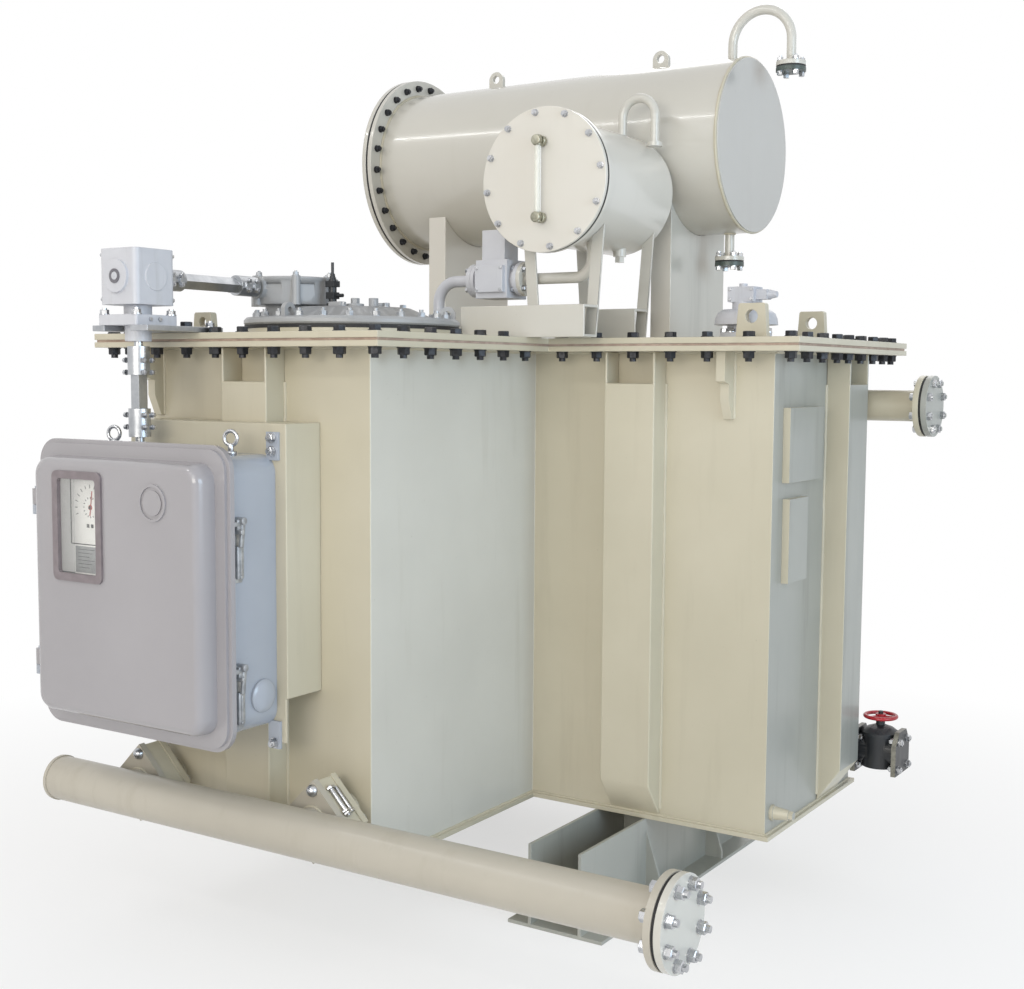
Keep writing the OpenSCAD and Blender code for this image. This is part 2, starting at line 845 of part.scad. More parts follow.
module tap_conservator_stand() {
  x1 = leg_x + leg_w / 2 + 4;
  left = [chan_front, chan_rear];
  color(cream)
  difference() {
    translate([-tapc_x, 0, 0]) {
      for (i = [0, 1]) {
        y = stand_ys[i];
        for (s = [0, 1]) mirror([s, 0, 0]) stand_leg(y);
        translate([-left[i], y, top_z])
          difference() {
            cube([left[i] + x1, chan_w, chan_h]);
            translate([-1, stand_t, stand_t])
              cube([left[i] + x1 + 2, chan_w, chan_h - 2 * stand_t]);
          }
      }
    }
    translate([-tapc_x, -tapc_front, tapc_cz]) ycyl(tapc_d / 2 + seat, tapc_l + 60);
  }
}

module oil_gauge() {
  y = tapc_y0 - 2 * tapc_flange_t - flange_gasket;
  z = tapc_cz + 6;
  color(brassy)
  translate([-tapc_x, y, z]) {
    for (dz = [-104, 90]) translate([0, -30, dz]) {
      ycyl(9, 30);
      translate([0, 2, -14]) cylinder(r = 12, h = 28);
    }
    translate([0, -28, -92]) cylinder(r = 8, h = 170);
  }
}

module tap_breather() {
  color(cream)
  translate([-tapc_x + 38, tapc_y1 - 60, tapc_cz + tapc_d / 2 - 24]) {
    difference() {
      u_bend(100, 64, 82, tube_d - 2);
      translate([-38, -60, 24 - tapc_d / 2]) ycyl(tapc_d / 2 + seat, 120);
    }
    translate([100, 0, -20]) cylinder(d = 42, h = 12);
  }
}

module relay_pipe() {
  r = 16;
  x0 = foot_x;
  z0 = lid_z + lid_t;
  color(grey)
  translate([0, relay_y, 0]) {
    translate([x0, 0, z0]) cylinder(r = 32, h = 10);
    translate([x0, 0, z0]) cylinder(r = r, h = relay_z - z0 - 60);
    translate([x0 + 60, 0, relay_z - 60]) rotate([90, 0, 0]) rotate([0, 0, 90])
      rotate_extrude(angle = 90) translate([60, 0]) circle(r = r, $fn = 32);
    translate([x0 + 60, 0, relay_z]) xcyl(r, relay_x0 - x0 - 70);
    translate([relay_x0 - 14, 0, relay_z]) xcyl(relay_r, 14);
  }
}

module gas_relay() {
  l = relay_l;
  color(grey)
  translate([relay_x0, relay_y, relay_z]) {
    xcyl(relay_r, 12);
    translate([l - 12, 0, 0]) xcyl(relay_r, 12);
    translate([10, 0, 0]) xcyl(34, l - 20);
    translate([24, -50, -52]) cube([l - 48, 100, 104]);
    translate([30, -64, -36]) cube([l - 60, 15, 72]);
    translate([34, -34, 50]) cube([l - 76, 68, 84]);
  }
}

module feed_pipe() {
  r = 15;
  dx = 73;
  x0 = relay_x0 + relay_l;
  x1 = -tapc_x + dx;
  z1 = tapc_cz - sqrt(pow(tapc_d / 2, 2) - pow(dx + r, 2)) + 6;
  color(cream)
  translate([0, relay_y, 0])
    difference() {
      union() {
        translate([x0, 0, relay_z]) xcyl(relay_r, 12);
        translate([x0, 0, relay_z]) xcyl(r, x1 - x0 - 50);
        translate([x1 - 50, 0, relay_z + 50]) rotate([90, 0, 0]) rotate([0, 0, 270])
          rotate_extrude(angle = 90) translate([50, 0]) circle(r = r, $fn = 32);
        translate([x1, 0, relay_z + 50]) cylinder(r = r, h = z1 - relay_z - 44);
      }
      translate([-tapc_x, -60, tapc_cz]) ycyl(tapc_d / 2 + seat, 120);
    }
}

module tap_head_flange() {
  color(dark)
  translate([-head_x, -head_y, top_z]) {
    cylinder(d = head_d - 14, h = 3);
    translate([0, 0, 3]) cylinder(d = head_d, h = head_t);
  }
}

// bolted lid: rounded rim, low cone and flat crown, three lifting eyes
module tap_head_lid() {
  r = lid_d / 2;
  t = lid_t;
  color(grey)
  translate([-head_x, -head_y, lid_z]) {
    difference() {
      rotate_extrude()
        polygon([[0, 0], [r - 4, 0], [r, 4], [r, t - 7], [r - 7, t], [cone_r, t],
          [crown_r, t + crown_h], [0, t + crown_h]]);
      translate([foot_x + head_x, relay_y + head_y, t]) cylinder(r = 32 + seat, h = crown_h + 2);
      translate([-gear_dx, -gear_dy, t]) cylinder(r = gear_d * 0.31 + seat, h = crown_h + 2);
    }
    for (a = [30, 150, 270])
      rotate([0, 0, a]) translate([r - 32, 0, t - 5]) front_plate(7, 14)
        difference() {
          union() {
            translate([-21, 0]) square([42, 22]);
            translate([0, 20]) circle(r = 21);
          }
          translate([0, 21]) circle(r = 8);
        }
  }
}

// drive gear casting: ribbed drum with a bolted top rim and a shaft boss
module tap_head_gear() {
  r = gear_d / 2;
  dx = -drive_x - gear_cx;
  color(grey)
  translate([gear_cx, gear_cy, 0])
    difference() {
      union() {
        translate([0, 0, lid_z + lid_t]) cylinder(r = gear_d * 0.31, h = gear_z - lid_z - lid_t + 1);
        translate([0, 0, gear_z]) {
          difference() {
            rotate_extrude()
              polygon([[0, 0], [r - 16, 0], [r - 12, 4], [r - 5, gear_h - 16], [r, gear_h - 14],
                [r, gear_h - 6], [r - 4, gear_h - 4], [0, gear_h]]);
            for (a = [-75, -30, 15])
              rotate([0, 0, a]) translate([r - 11, -22, 12]) cube([14, 44, gear_h - 36]);
          }
          ring(6, gear_d - 14, 15) cylinder(r = 12, h = gear_h - 2);
        }
        translate([dx, -r - 6, hdrive_z]) ycyl(30, 40);
      }
      translate([dx, -r - 7, hdrive_z]) ycyl(stub_r + stub_gap, 33);
    }
}

// bleed valve with an upright spindle on the crown of the lid
module head_valve() {
  color(dark)
  translate([-head_x - 4, -head_y - 80, lid_z + lid_t + crown_h]) {
    cylinder(r = 17, h = 10);
    cylinder(r = 11, h = 74);
    translate([-14, -12, 22]) cube([28, 24, 18]);
    translate([-15, -13, 54]) cube([30, 26, 16]);
    translate([0, 0, 74]) cylinder(r1 = 9, r2 = 6, h = 16);
    translate([0, 0, 90]) cylinder(r = 4, h = 30);
    translate([10, 0, 31]) xcyl(5, 26);
  }
}

// two-bolt shaft coupling along +Z
module coupling() {
  cylinder(d = coup_d, h = coup_l);
  for (z = [coup_l * 0.28, coup_l * 0.72])
    translate([-coup_d / 2 - 4, -8, z - 8]) cube([coup_d + 8, 16, 16]);
}

module horizontal_shaft() {
  y0 = drive_y + bevel_w / 2;
  y1 = gear_cy - gear_d / 2 - 6;
  l = y1 - y0;
  c = coup_l;
  color(zinc)
  translate([-drive_x, y0, hdrive_z]) rotate([-90, 0, 0]) {
    translate([0, 0, -20]) cylinder(r = stub_r, h = 26 + 10);
    translate([0, 0, 6]) coupling();
    rotate([0, 0, 45]) translate([-tube_sq / 2, -tube_sq / 2, 6 + c - 10])
      cube([tube_sq, tube_sq, l - 2 * c - 12 + 20]);
    translate([0, 0, l - 6 - c]) coupling();
    translate([0, 0, l - 16]) cylinder(r = stub_r, h = 16 + 20);
  }
}

module bevel_gearbox() {
  w = bevel_w;
  h = bevel_h;
  f = bevel_z0 - foot_z;
  color(grey)
  translate([-drive_x, drive_y, bevel_z0])
    difference() {
      union() {
        linear_extrude(height = h) rrect(w, w, 14);
        translate([0, -w / 2 - 8, h / 2]) ycyl(40, 10);
        translate([w / 2 - 2, 0, h / 2]) xcyl(34, 5);
        translate([0, w / 2 - 2, h / 2]) ycyl(36, 5);
        translate([0, 0, -f + foot_t - 1]) cylinder(r = 34, h = f - foot_t + 2);
        translate([0, 0, -f]) linear_extrude(height = foot_t) rrect(foot_sq, foot_sq, 6);
        translate([0, 0, boss_z - bevel_z0]) cylinder(r = 32, h = foot_z - boss_z + 1);
      }
      translate([0, 0, boss_z - bevel_z0 - 1]) cylinder(r = stub_r + stub_gap, h = bevel_z0 - boss_z + 24);
      translate([0, w / 2 - 24, h / 2]) ycyl(stub_r + stub_gap, 30);
    }
}

// mounting plate lying on the cover edge, slotted round the lower boss
module gearbox_bracket() {
  x0 = -drive_x - plate_l;
  y0 = drive_y - foot_sq / 2;
  slot = plate_slot / 2;
  color(zinc)
  translate([0, 0, top_z])
    difference() {
      translate([x0, y0, 0]) cube([plate_l + plate_r, plate_y1 - y0, plate_t]);
      translate([-drive_x - slot, y0 - 1, -1]) cube([2 * slot, drive_y + slot - y0 + 1, plate_t + 2]);
    }
}

module vertical_shaft() {
  z0 = house_top;
  z1 = boss_z;
  l = z1 - z0;
  c = coup_l;
  color(zinc)
  translate([-drive_x, drive_y, z0]) {
    translate([0, 0, -30]) cylinder(r = stub_r, h = 30 + 44);
    translate([0, 0, 34]) coupling();
    translate([-tube_sq / 2, -tube_sq / 2, 34 + c - 10])
      cube([tube_sq, tube_sq, l - 2 * c - 46 + 20]);
    translate([0, 0, l - 12 - c]) coupling();
    translate([0, 0, l - 16]) cylinder(r = stub_r, h = 16 + foot_z + foot_t - z1);
  }
}

module cabinet_bracket() {
  t = cab_plate;
  d = cab_stand;
  sx = -tank_l + stiff_bay_x;
  xr = -cab_x + house_w / 2 + 34;
  xl = max(-cab_x - house_w / 2 + 100, -tank_l + 6);
  z0 = cab_z - house_h / 2 + 70;
  z1 = house_top + 74;
  color(cream)
  difference() {
    union() {
      translate([xl, -bay_d - d, z0]) cube([xr - xl, t, z1 - z0]);
      for (x = [xl, xr - t]) translate([x, -bay_d - d + t, z0]) cube([t, d - t, z1 - z0]);
      for (z = [z0, z1 - t]) translate([xl + t, -bay_d - d + t, z]) cube([xr - xl - 2 * t, d - t, t]);
      translate([xr - 46, -bay_d - d, z0 - 110]) cube([40, t, 112]);
    }
    translate([sx - stiff_w / 2 - 1, -bay_d - stiff_d - 1, z0 - 1])
      cube([stiff_w + 2, stiff_d + 2, z1 - z0 + 2]);
  }
}

// hollow rounded box on its side: outline w by h, from y towards the front
module cabinet_housing() {
  t = house_t;
  color(lilac)
  difference() {
    union() {
      translate([-cab_x, 0, cab_z]) {
        difference() {
          front_plate(house_y0, house_d) rrect(house_w, house_h, corner_r);
          front_plate(house_y0 - t, house_d) rrect(house_w - 2 * t, house_h - 2 * t, corner_r - t);
        }
        for (p = [[1, -1], [1, 1], [-0.6, -1]])
          translate([p[0] * (house_w / 2 - 4) - 19, house_y0 - 7, p[1] * (house_h / 2 + 20) - 34])
            cube([38, 7, 68]);
        translate([house_w / 2 - 3, house_y0 - 52, -house_h / 2 + 86]) rotate([0, 90, 0])
          rotate_extrude() polygon([[0, 0], [40, 0], [40, 9], [34, 14], [20, 17], [0, 18]]);
      }
      translate([-drive_x, drive_y, house_top - 8]) cylinder(r = 26, h = 20);
      for (z = hinge_zs) {
        translate([hinge_x, hinge_y, z - 40]) cylinder(r = pin_r + 6, h = 24);
        translate([hinge_x, hinge_y, z - 17]) cylinder(r = pin_r, h = 48);
        translate([hinge_x - 7, hinge_y, z - 40]) cube([14, house_y1 - hinge_y + 30, 24]);
        translate([hinge_x - 7, house_y1 + 12, z - 40]) cube([lip_out + 29, 18, 24]);
      }
    }
    translate([-drive_x, drive_y, house_top - 40]) cylinder(r = stub_r + stub_gap, h = 60);
  }
}

// pressed dish with rolled edges, g inside the outer skin
module dish(g) {
  y = lip_y - lip_t;
  d = dish_d - g;
  hull() {
    front_plate(y + 2 * g, 0.5) rrect(dish_w - 2 * g, dish_h - 2 * g, corner_r - g, $fn = 32);
    front_plate(y - d + 26, 0.5) rrect(dish_w - 4 - 2 * g, dish_h - 4 - 2 * g, corner_r - 2 - g, $fn = 32);
    front_plate(y - d + 12, 0.5) rrect(dish_w - 12 - 2 * g, dish_h - 12 - 2 * g, corner_r - 6 - g, $fn = 32);
    front_plate(y - d + 4, 0.5) rrect(dish_w - 28 - 2 * g, dish_h - 28 - 2 * g, corner_r - 14 - g, $fn = 32);
    front_plate(y - d + 0.5, 0.5) rrect(dish_w - 48 - 2 * g, dish_h - 48 - 2 * g, corner_r - 22 - g, $fn = 32);
  }
}

module cabinet_door() {
  t = door_t;
  color(lilac)
  difference() {
    union() {
      translate([-cab_x, 0, cab_z]) {
        difference() {
          union() {
            front_plate(lip_y, lip_t - 8) rrect(door_w, door_h, corner_r + 14);
            front_plate(lip_y, lip_t) rrect(door_w - 20, door_h - 20, corner_r + 4);
            dish(0);
          }
          front_plate(lip_y + 1, lip_t + 1) rrect(dish_w - 2 * t, dish_h - 2 * t, corner_r - t);
          dish(t);
        }
      }
      translate([win_x, 0, win_z])
        front_plate(lip_y - lip_t - dish_d + 1, 7)
          rrect(win_w + 2 * win_bar, win_h + 2 * win_bar, 16);
      translate([-cab_x + 141, 0, cab_z + 223]) {
        front_plate(lip_y - lip_t - dish_d + 1, 5) difference() {
          circle(r = 44);
          circle(r = 38);
        }
        front_plate(lip_y - lip_t - dish_d + 1, 4) circle(r = 30);
      }
      for (z = hinge_zs) {
        translate([hinge_x, hinge_y, z - 15]) cylinder(r = pin_r + 6, h = 40);
        translate([hinge_x, hinge_y - lip_t / 2, z - 15]) cube([26, lip_t / 2 + 4, 40]);
      }
    }
    translate([win_x, 0, win_z])
      front_plate(lip_y - lip_t, dish_d + 20) rrect(win_w, win_h, 8);
    for (z = hinge_zs)
      translate([hinge_x, hinge_y, z - 20]) cylinder(r = pin_r + pin_gap, h = 60);
  }
}

module door_window() {
  color(clear)
  translate([win_x, 0, win_z])
    front_plate(lip_y - lip_t - dish_d + door_t + glass_t + seat, glass_t)
      rrect(win_w + 24, win_h + 24, 10);
}

module indicator_panel() {
  y = house_y0 - house_t;
  color([0.92, 0.92, 0.9]) {
    for (dz = [-90, 90])
      translate([win_x - 10, 0, win_z + dz]) translate([0, house_y1 - 6, 0]) ycyl(9, y - house_y1 + 6);
    translate([win_x, 0, win_z]) front_plate(house_y1 - 5, 4) rrect(win_w + 60, win_h + 60, 8);
    translate([win_x + 36, 0, win_z + 42]) front_plate(house_y1 - 8, 4) circle(r = 26);
  }
}

// base flange, short neck, spring bell and switch box
module pressure_relief() {
  r = relief_d / 2;
  h = relief_h;
  color(grey)
  translate([-126, 100, top_z]) {
    cylinder(r = r - 16, h = 16);
    translate([0, 0, 15]) cylinder(r = r - 34, h = 26);
    translate([0, 0, h - 42])
      rotate_extrude()
        polygon([[0, 0], [r, 0], [r - 2, 16], [r - 8, 30], [r - 22, 40], [0, 42]]);
    translate([-6, 0, h - 1]) cylinder(r = 32, h = 20);
    translate([-42, -30, h + 18]) cube([74, 60, 40]);
    translate([-10, 0, h + 57]) cylinder(r = 11, h = 10);
    translate([29, -16, h + 24]) cube([34, 32, 26]);
    translate([62, 0, h + 37]) rotate([0, 90, 0]) cylinder(r1 = 13, r2 = 8, h = 24);
  }
}

placed() base_rails();
placed() tank_bottom();
placed() tank_walls();
placed() tank_stiffeners();
placed() tank_fittings();
placed() tank_rim();
placed() cover_gasket();
placed() tank_cover();
placed() cover_lugs();
placed() header_pipe();
placed() header_blind();
placed() header_valves();
placed() outlet_pipe();
placed() outlet_blind();
placed() drain_valve();
placed() drain_handwheel();
placed() conservator_shell();
placed() conservator_end();
placed() conservator_cover();
placed() conservator_supports();
placed() conservator_breather();
placed() conservator_drain();
placed() tap_conservator_shell();
placed() tap_conservator_cover();
placed() tap_conservator_stand();
placed() oil_gauge();
placed() tap_breather();
placed() relay_pipe();
placed() gas_relay();
placed() feed_pipe();
placed() tap_head_flange();
placed() tap_head_lid();
placed() tap_head_gear();
placed() head_valve();
placed() horizontal_shaft();
placed() bevel_gearbox();
placed() gearbox_bracket();
placed() vertical_shaft();
placed() cabinet_bracket();
placed() cabinet_housing();
placed() cabinet_door();
placed() door_window();
placed() indicator_panel();
placed() pressure_relief();
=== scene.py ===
import bpy
import bmesh
import math
from mathutils import Matrix, Vector


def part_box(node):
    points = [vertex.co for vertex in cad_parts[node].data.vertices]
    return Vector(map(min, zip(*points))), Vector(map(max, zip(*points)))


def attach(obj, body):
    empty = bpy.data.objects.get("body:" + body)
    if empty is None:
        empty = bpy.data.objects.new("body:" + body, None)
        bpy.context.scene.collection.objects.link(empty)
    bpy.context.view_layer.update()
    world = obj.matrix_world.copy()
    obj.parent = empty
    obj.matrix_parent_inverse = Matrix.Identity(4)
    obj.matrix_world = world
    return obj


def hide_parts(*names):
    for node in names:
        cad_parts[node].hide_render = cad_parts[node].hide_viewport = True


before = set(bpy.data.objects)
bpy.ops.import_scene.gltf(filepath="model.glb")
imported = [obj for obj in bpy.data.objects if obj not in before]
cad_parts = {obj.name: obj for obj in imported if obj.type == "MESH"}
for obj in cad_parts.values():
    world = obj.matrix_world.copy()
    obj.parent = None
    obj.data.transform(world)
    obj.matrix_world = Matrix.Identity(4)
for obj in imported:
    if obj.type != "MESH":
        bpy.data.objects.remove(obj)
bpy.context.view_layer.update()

print("frame loaded:", len(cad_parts), "nodes")

tank = {"long": 1455, "deep": 640, "bayLong": 735, "bayDeep": 745, "wall": 1265, "cover": 1301}  # mm

wallLow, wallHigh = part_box("tank_walls")
corner = Vector((wallHigh[0], wallHigh[1] - tank["deep"] / 1000, wallLow[2]))  # right front wall corner


def at(x, y, z):  # mm from the tank corner to metres in the shared frame
    return corner + Vector((x, y, z)) * 0.001


def pick(*objs):
    bpy.ops.object.select_all(action="DESELECT")
    for o in objs:
        o.select_set(True)
    bpy.context.view_layer.objects.active = objs[0]


def modify(obj, kind, **settings):
    pick(obj)
    m = obj.modifiers.new(kind.lower(), kind)
    for key, value in settings.items():
        setattr(m, key, value)
    bpy.ops.object.modifier_apply(modifier=m.name)
    return obj


def smooth(obj, angle):
    pick(obj)
    bpy.ops.object.shade_smooth_by_angle(angle=math.radians(angle))
    return obj


def settle(obj, name, mat, body="transformer"):
    pick(obj)
    bpy.ops.object.transform_apply(location=True, rotation=True, scale=True)
    obj.name = name
    obj.data.name = name
    obj.data.materials.clear()
    obj.data.materials.append(mat)
    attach(obj, body)
    return obj


def joined(parts):
    pick(*parts)
    if len(parts) > 1:
        bpy.ops.object.join()
    return bpy.context.view_layer.objects.active


right, left, front, back, up, down = (1, 0, 0), (-1, 0, 0), (0, -1, 0), (0, 1, 0), (0, 0, 1), (0, 0, -1)


def turnTo(direction):
    return Vector(up).rotation_difference(Vector(direction)).to_matrix().to_4x4()


def selectIn(obj, kind, test):  # edit mode selection by place or normal
    bm = bmesh.from_edit_mesh(obj.data)
    for group in (bm.verts, bm.edges, bm.faces):
        for e in group:
            e.select = False
    for e in getattr(bm, kind):
        if test(e):
            e.select_set(True)
    bmesh.update_edit_mesh(obj.data)


def put(obj, centre, turn):  # a new piece goes to its place, mm
    obj.matrix_world = Matrix.Translation(at(*centre)) @ turn
    pick(obj)
    bpy.ops.object.transform_apply(location=True, rotation=True, scale=True)
    return obj


def drum(radius, depth, centre, direction=up, sides=48, edge=0.0, steps=2):  # bevelled disc or rod, mm
    bpy.ops.object.select_all(action="DESELECT")
    bpy.ops.mesh.primitive_cylinder_add(vertices=sides, radius=radius / 1000, depth=depth / 1000)
    obj = bpy.context.object
    if edge:
        bpy.ops.object.mode_set(mode="EDIT")
        bpy.ops.mesh.select_mode(type="EDGE")
        selectIn(obj, "edges", lambda e: abs(e.verts[0].co.z - e.verts[1].co.z) < 1e-7)
        bpy.ops.mesh.bevel(offset=edge / 1000, segments=steps, affect="EDGES")
        bpy.ops.object.mode_set(mode="OBJECT")
    return put(obj, centre, turnTo(direction))


def block(size, centre, edge=1.5, turn=Matrix()):  # bevelled box, mm
    bpy.ops.object.select_all(action="DESELECT")
    bpy.ops.mesh.primitive_cube_add(size=1)
    obj = bpy.context.object
    obj.scale = [s / 1000 for s in size]
    bpy.ops.object.transform_apply(location=False, rotation=False, scale=True)
    if edge:
        bpy.ops.object.mode_set(mode="EDIT")
        bpy.ops.mesh.select_all(action="SELECT")
        bpy.ops.mesh.bevel(offset=edge / 1000, segments=2, affect="EDGES")
        bpy.ops.object.mode_set(mode="OBJECT")
    return put(obj, centre, turn)


def hoop(major, minor, centre, direction, around, sides):  # round ring, mm
    bpy.ops.object.select_all(action="DESELECT")
    bpy.ops.mesh.primitive_torus_add(major_radius=major / 1000, minor_radius=minor / 1000,
                                     major_segments=around, minor_segments=sides)
    return put(bpy.context.object, centre, turnTo(direction))


def flatRing(outer, inner, depth, centre, direction=up, sides=96):  # washer or gasket, mm
    bpy.ops.object.select_all(action="DESELECT")
    bpy.ops.mesh.primitive_circle_add(vertices=sides, radius=outer / 1000, fill_type="NGON")
    obj = bpy.context.object
    bpy.ops.object.mode_set(mode="EDIT")
    bpy.ops.mesh.select_all(action="SELECT")
    bpy.ops.mesh.inset(thickness=(outer - inner) / 1000 * math.cos(math.pi / sides), depth=0)
    bpy.ops.mesh.delete(type="FACE")
    bpy.ops.mesh.select_all(action="SELECT")
    bpy.ops.mesh.extrude_region_move(TRANSFORM_OT_translate={"value": (0, 0, depth / 1000)})
    bpy.ops.mesh.select_all(action="SELECT")
    bpy.ops.mesh.normals_make_consistent(inside=False)
    bpy.ops.object.mode_set(mode="OBJECT")
    return put(obj, centre, turnTo(direction))


def rod(sides, radius, depth, middle):  # plain cylinder on the Z axis, mm
    bpy.ops.mesh.primitive_cylinder_add(vertices=sides, radius=radius / 1000, depth=depth / 1000,
                                        location=(0, 0, middle / 1000))
    bpy.ops.object.transform_apply(location=True, rotation=False, scale=False)
    return bpy.context.object


washerThick = 2.5  # mm


def bolt(flats, head, washer=0.0, shank=0.0, tail=0.0):  # hex head on +Z, washer below it, mm
    bpy.ops.object.select_all(action="DESELECT")
    seat = washerThick if washer else 0.0
    parts = [rod(6, flats / 2 / math.cos(math.pi / 6), head, seat + head / 2)]
    bpy.ops.object.mode_set(mode="EDIT")
    bpy.ops.mesh.select_mode(type="FACE")
    selectIn(parts[0], "faces", lambda f: f.normal.z > 0.9)
    bpy.ops.mesh.inset(thickness=flats / 14000)  # chamfered top
    bpy.ops.transform.translate(value=(0, 0, head / 9000))
    bpy.ops.object.mode_set(mode="OBJECT")
    if washer:
        parts.append(rod(16, washer / 2, seat, seat / 2))
    if tail:
        parts.append(rod(10, shank / 2, tail, seat + head + tail / 2))
    return joined(parts)


def spread(pattern, spots):  # copies of one pattern at (place, outward direction, spin)
    made = []
    for place, out, spin in spots:
        o = bpy.data.objects.new("copy", pattern.data.copy())
        bpy.context.scene.collection.objects.link(o)
        o.matrix_world = Matrix.Translation(at(*place)) @ turnTo(out) @ Matrix.Rotation(math.radians(spin), 4, "Z")
        made.append(o)
    group = joined(made)
    bpy.ops.object.transform_apply(location=True, rotation=True, scale=True)
    bpy.data.objects.remove(pattern)
    return group


def circleSpots(centre, radius, count, axis, start):  # places on a bolt circle round X, Y or Z
    x, y, z = centre
    spots = []
    for i in range(count):
        a = math.radians(start + 360 * i / count)
        u, v = radius * math.cos(a), radius * math.sin(a)
        if axis[0]:
            place = (x, y + u, z + v)
        elif axis[1]:
            place = (x + u, y, z + v)
        else:
            place = (x + u, y + v, z)
        spots.append((place, axis, 17 * i))
    return spots


def boltCircle(size, *circle):  # one kind of bolt on one circle
    return spread(bolt(*size), circleSpots(*circle))


# materials

def hexColor(code):
    values = [int(code[i:i + 2], 16) / 255 for i in (1, 3, 5)]
    return tuple(v / 12.92 if v <= 0.04045 else ((v + 0.055) / 1.055) ** 2.4 for v in values) + (1.0,)


def addNode(mat, kind, settings=None, links=None):
    node = mat.node_tree.nodes.new(kind)
    for key, value in (settings or {}).items():
        if isinstance(key, int) or key in node.inputs:
            node.inputs[key].default_value = value
        else:
            setattr(node, key, value)
    for key, source in (links or {}).items():
        mat.node_tree.links.new(source, node.inputs[key])
    return node


def newMaterial(name):
    mat = bpy.data.materials.new(name)
    mat.use_nodes = True
    shader = mat.node_tree.nodes["Principled BSDF"]
    place = addNode(mat, "ShaderNodeTexCoord").outputs["Object"]
    return mat, shader, place


def enamel(name, look):
    # brushed and sprayed gloss enamel on plate: soft orange peel, faint tone drift, fine dust and runs
    mat, shader, place = newMaterial(name)
    links = mat.node_tree.links
    drift = addNode(mat, "ShaderNodeTexNoise", {"Scale": 1000 / look["drift"], "Detail": 4.0, "Roughness": 0.55},
                    {"Vector": place})
    tone = addNode(mat, "ShaderNodeValToRGB", {}, {"Fac": drift.outputs["Fac"]})
    tone.color_ramp.elements[0].position, tone.color_ramp.elements[0].color = 0.32, hexColor(look["shade"])
    tone.color_ramp.elements[1].position, tone.color_ramp.elements[1].color = 0.68, hexColor(look["paint"])
    tall = addNode(mat, "ShaderNodeMapping", {"Scale": (1.0, 1.0, 0.09)}, {"Vector": place})  # drawn out downwards
    runs = addNode(mat, "ShaderNodeTexNoise", {"Scale": 1000 / look["run"], "Detail": 5.0, "Roughness": 0.6},
                   {"Vector": tall.outputs["Vector"]})
    soil = addNode(mat, "ShaderNodeMapRange", {"From Min": 0.56, "From Max": 0.82, "To Max": look["soil"]},
                   {"Value": runs.outputs["Fac"]})
    stained = addNode(mat, "ShaderNodeMix", {"data_type": "RGBA", 7: hexColor(look["dust"])},
                      {0: soil.outputs["Result"], 6: tone.outputs["Color"]})
    speck = addNode(mat, "ShaderNodeTexNoise", {"Scale": 1000 / 9.0, "Detail": 2.0}, {"Vector": place})  # 9 mm specks
    chip = addNode(mat, "ShaderNodeMapRange", {"From Min": 0.74, "From Max": 0.80, "To Max": look["speck"]},
                   {"Value": speck.outputs["Fac"]})
    final = addNode(mat, "ShaderNodeMix", {"data_type": "RGBA", 7: hexColor(look["chip"])},
                    {0: chip.outputs["Result"], 6: stained.outputs[2]})
    links.new(final.outputs[2], shader.inputs["Base Color"])
    sheen = addNode(mat, "ShaderNodeMapRange", {"From Min": 0.3, "From Max": 0.7, "To Min": look["gloss"],
                                                "To Max": look["gloss"] + look["sheen"]},
                    {"Value": runs.outputs["Fac"]})
    links.new(sheen.outputs["Result"], shader.inputs["Roughness"])
    peel = addNode(mat, "ShaderNodeTexNoise", {"Scale": 1000 / look["peel"], "Detail": 2.0}, {"Vector": place})
    wave = addNode(mat, "ShaderNodeTexNoise", {"Scale": 1000 / 420.0, "Detail": 1.0}, {"Vector": place})  # plate buckle
    both = addNode(mat, "ShaderNodeMath", {"operation": "MULTIPLY_ADD", 1: look["buckle"]},
                   {0: wave.outputs["Fac"], 2: peel.outputs["Fac"]})
    bump = addNode(mat, "ShaderNodeBump", {"Strength": look["depth"], "Distance": 0.0006}, {"Height": both.outputs[0]})
    links.new(bump.outputs["Normal"], shader.inputs["Normal"])
    shader.inputs["Coat Weight"].default_value = look["coat"]
    shader.inputs["Coat Roughness"].default_value = look["gloss"] * 0.4
    return mat


creamLook = {"paint": "#C6BFAB", "shade": "#BDB6A1", "dust": "#9A927E", "chip": "#857D69", "drift": 520, "run": 60,
             "soil": 0.24, "speck": 0.25, "gloss": 0.34, "sheen": 0.08, "peel": 7, "depth": 0.12, "buckle": 9.0,
             "coat": 0.18}  # lengths in mm
glossLook = dict(creamLook, paint="#C9C6BD", shade="#C2BFB6", gloss=0.22, sheen=0.02, soil=0.08, coat=0.4, peel=12,
                 depth=0.03, drift=700)
greyLook = {"paint": "#C9CACF", "shade": "#BEBFC5", "dust": "#96958F", "chip": "#6F7072", "drift": 160, "run": 26,
            "soil": 0.35, "speck": 0.3, "gloss": 0.38, "sheen": 0.12, "peel": 4, "depth": 0.12, "buckle": 3.0,
            "coat": 0.12}
cabinetLook = {"paint": "#A19EA1", "shade": "#9B989B", "dust": "#8F8D8C", "chip": "#77757A", "drift": 380, "run": 45,
               "soil": 0.05, "speck": 0.1, "gloss": 0.2, "sheen": 0.02, "peel": 6, "depth": 0.04, "buckle": 5.0,
               "coat": 0.6}
redLook = {"paint": "#B0202B", "shade": "#981A24", "dust": "#6E2A2A", "chip": "#40201E", "drift": 60, "run": 20,
           "soil": 0.3, "speck": 0.5, "gloss": 0.3, "sheen": 0.1, "peel": 3, "depth": 0.12, "buckle": 2.0, "coat": 0.2}
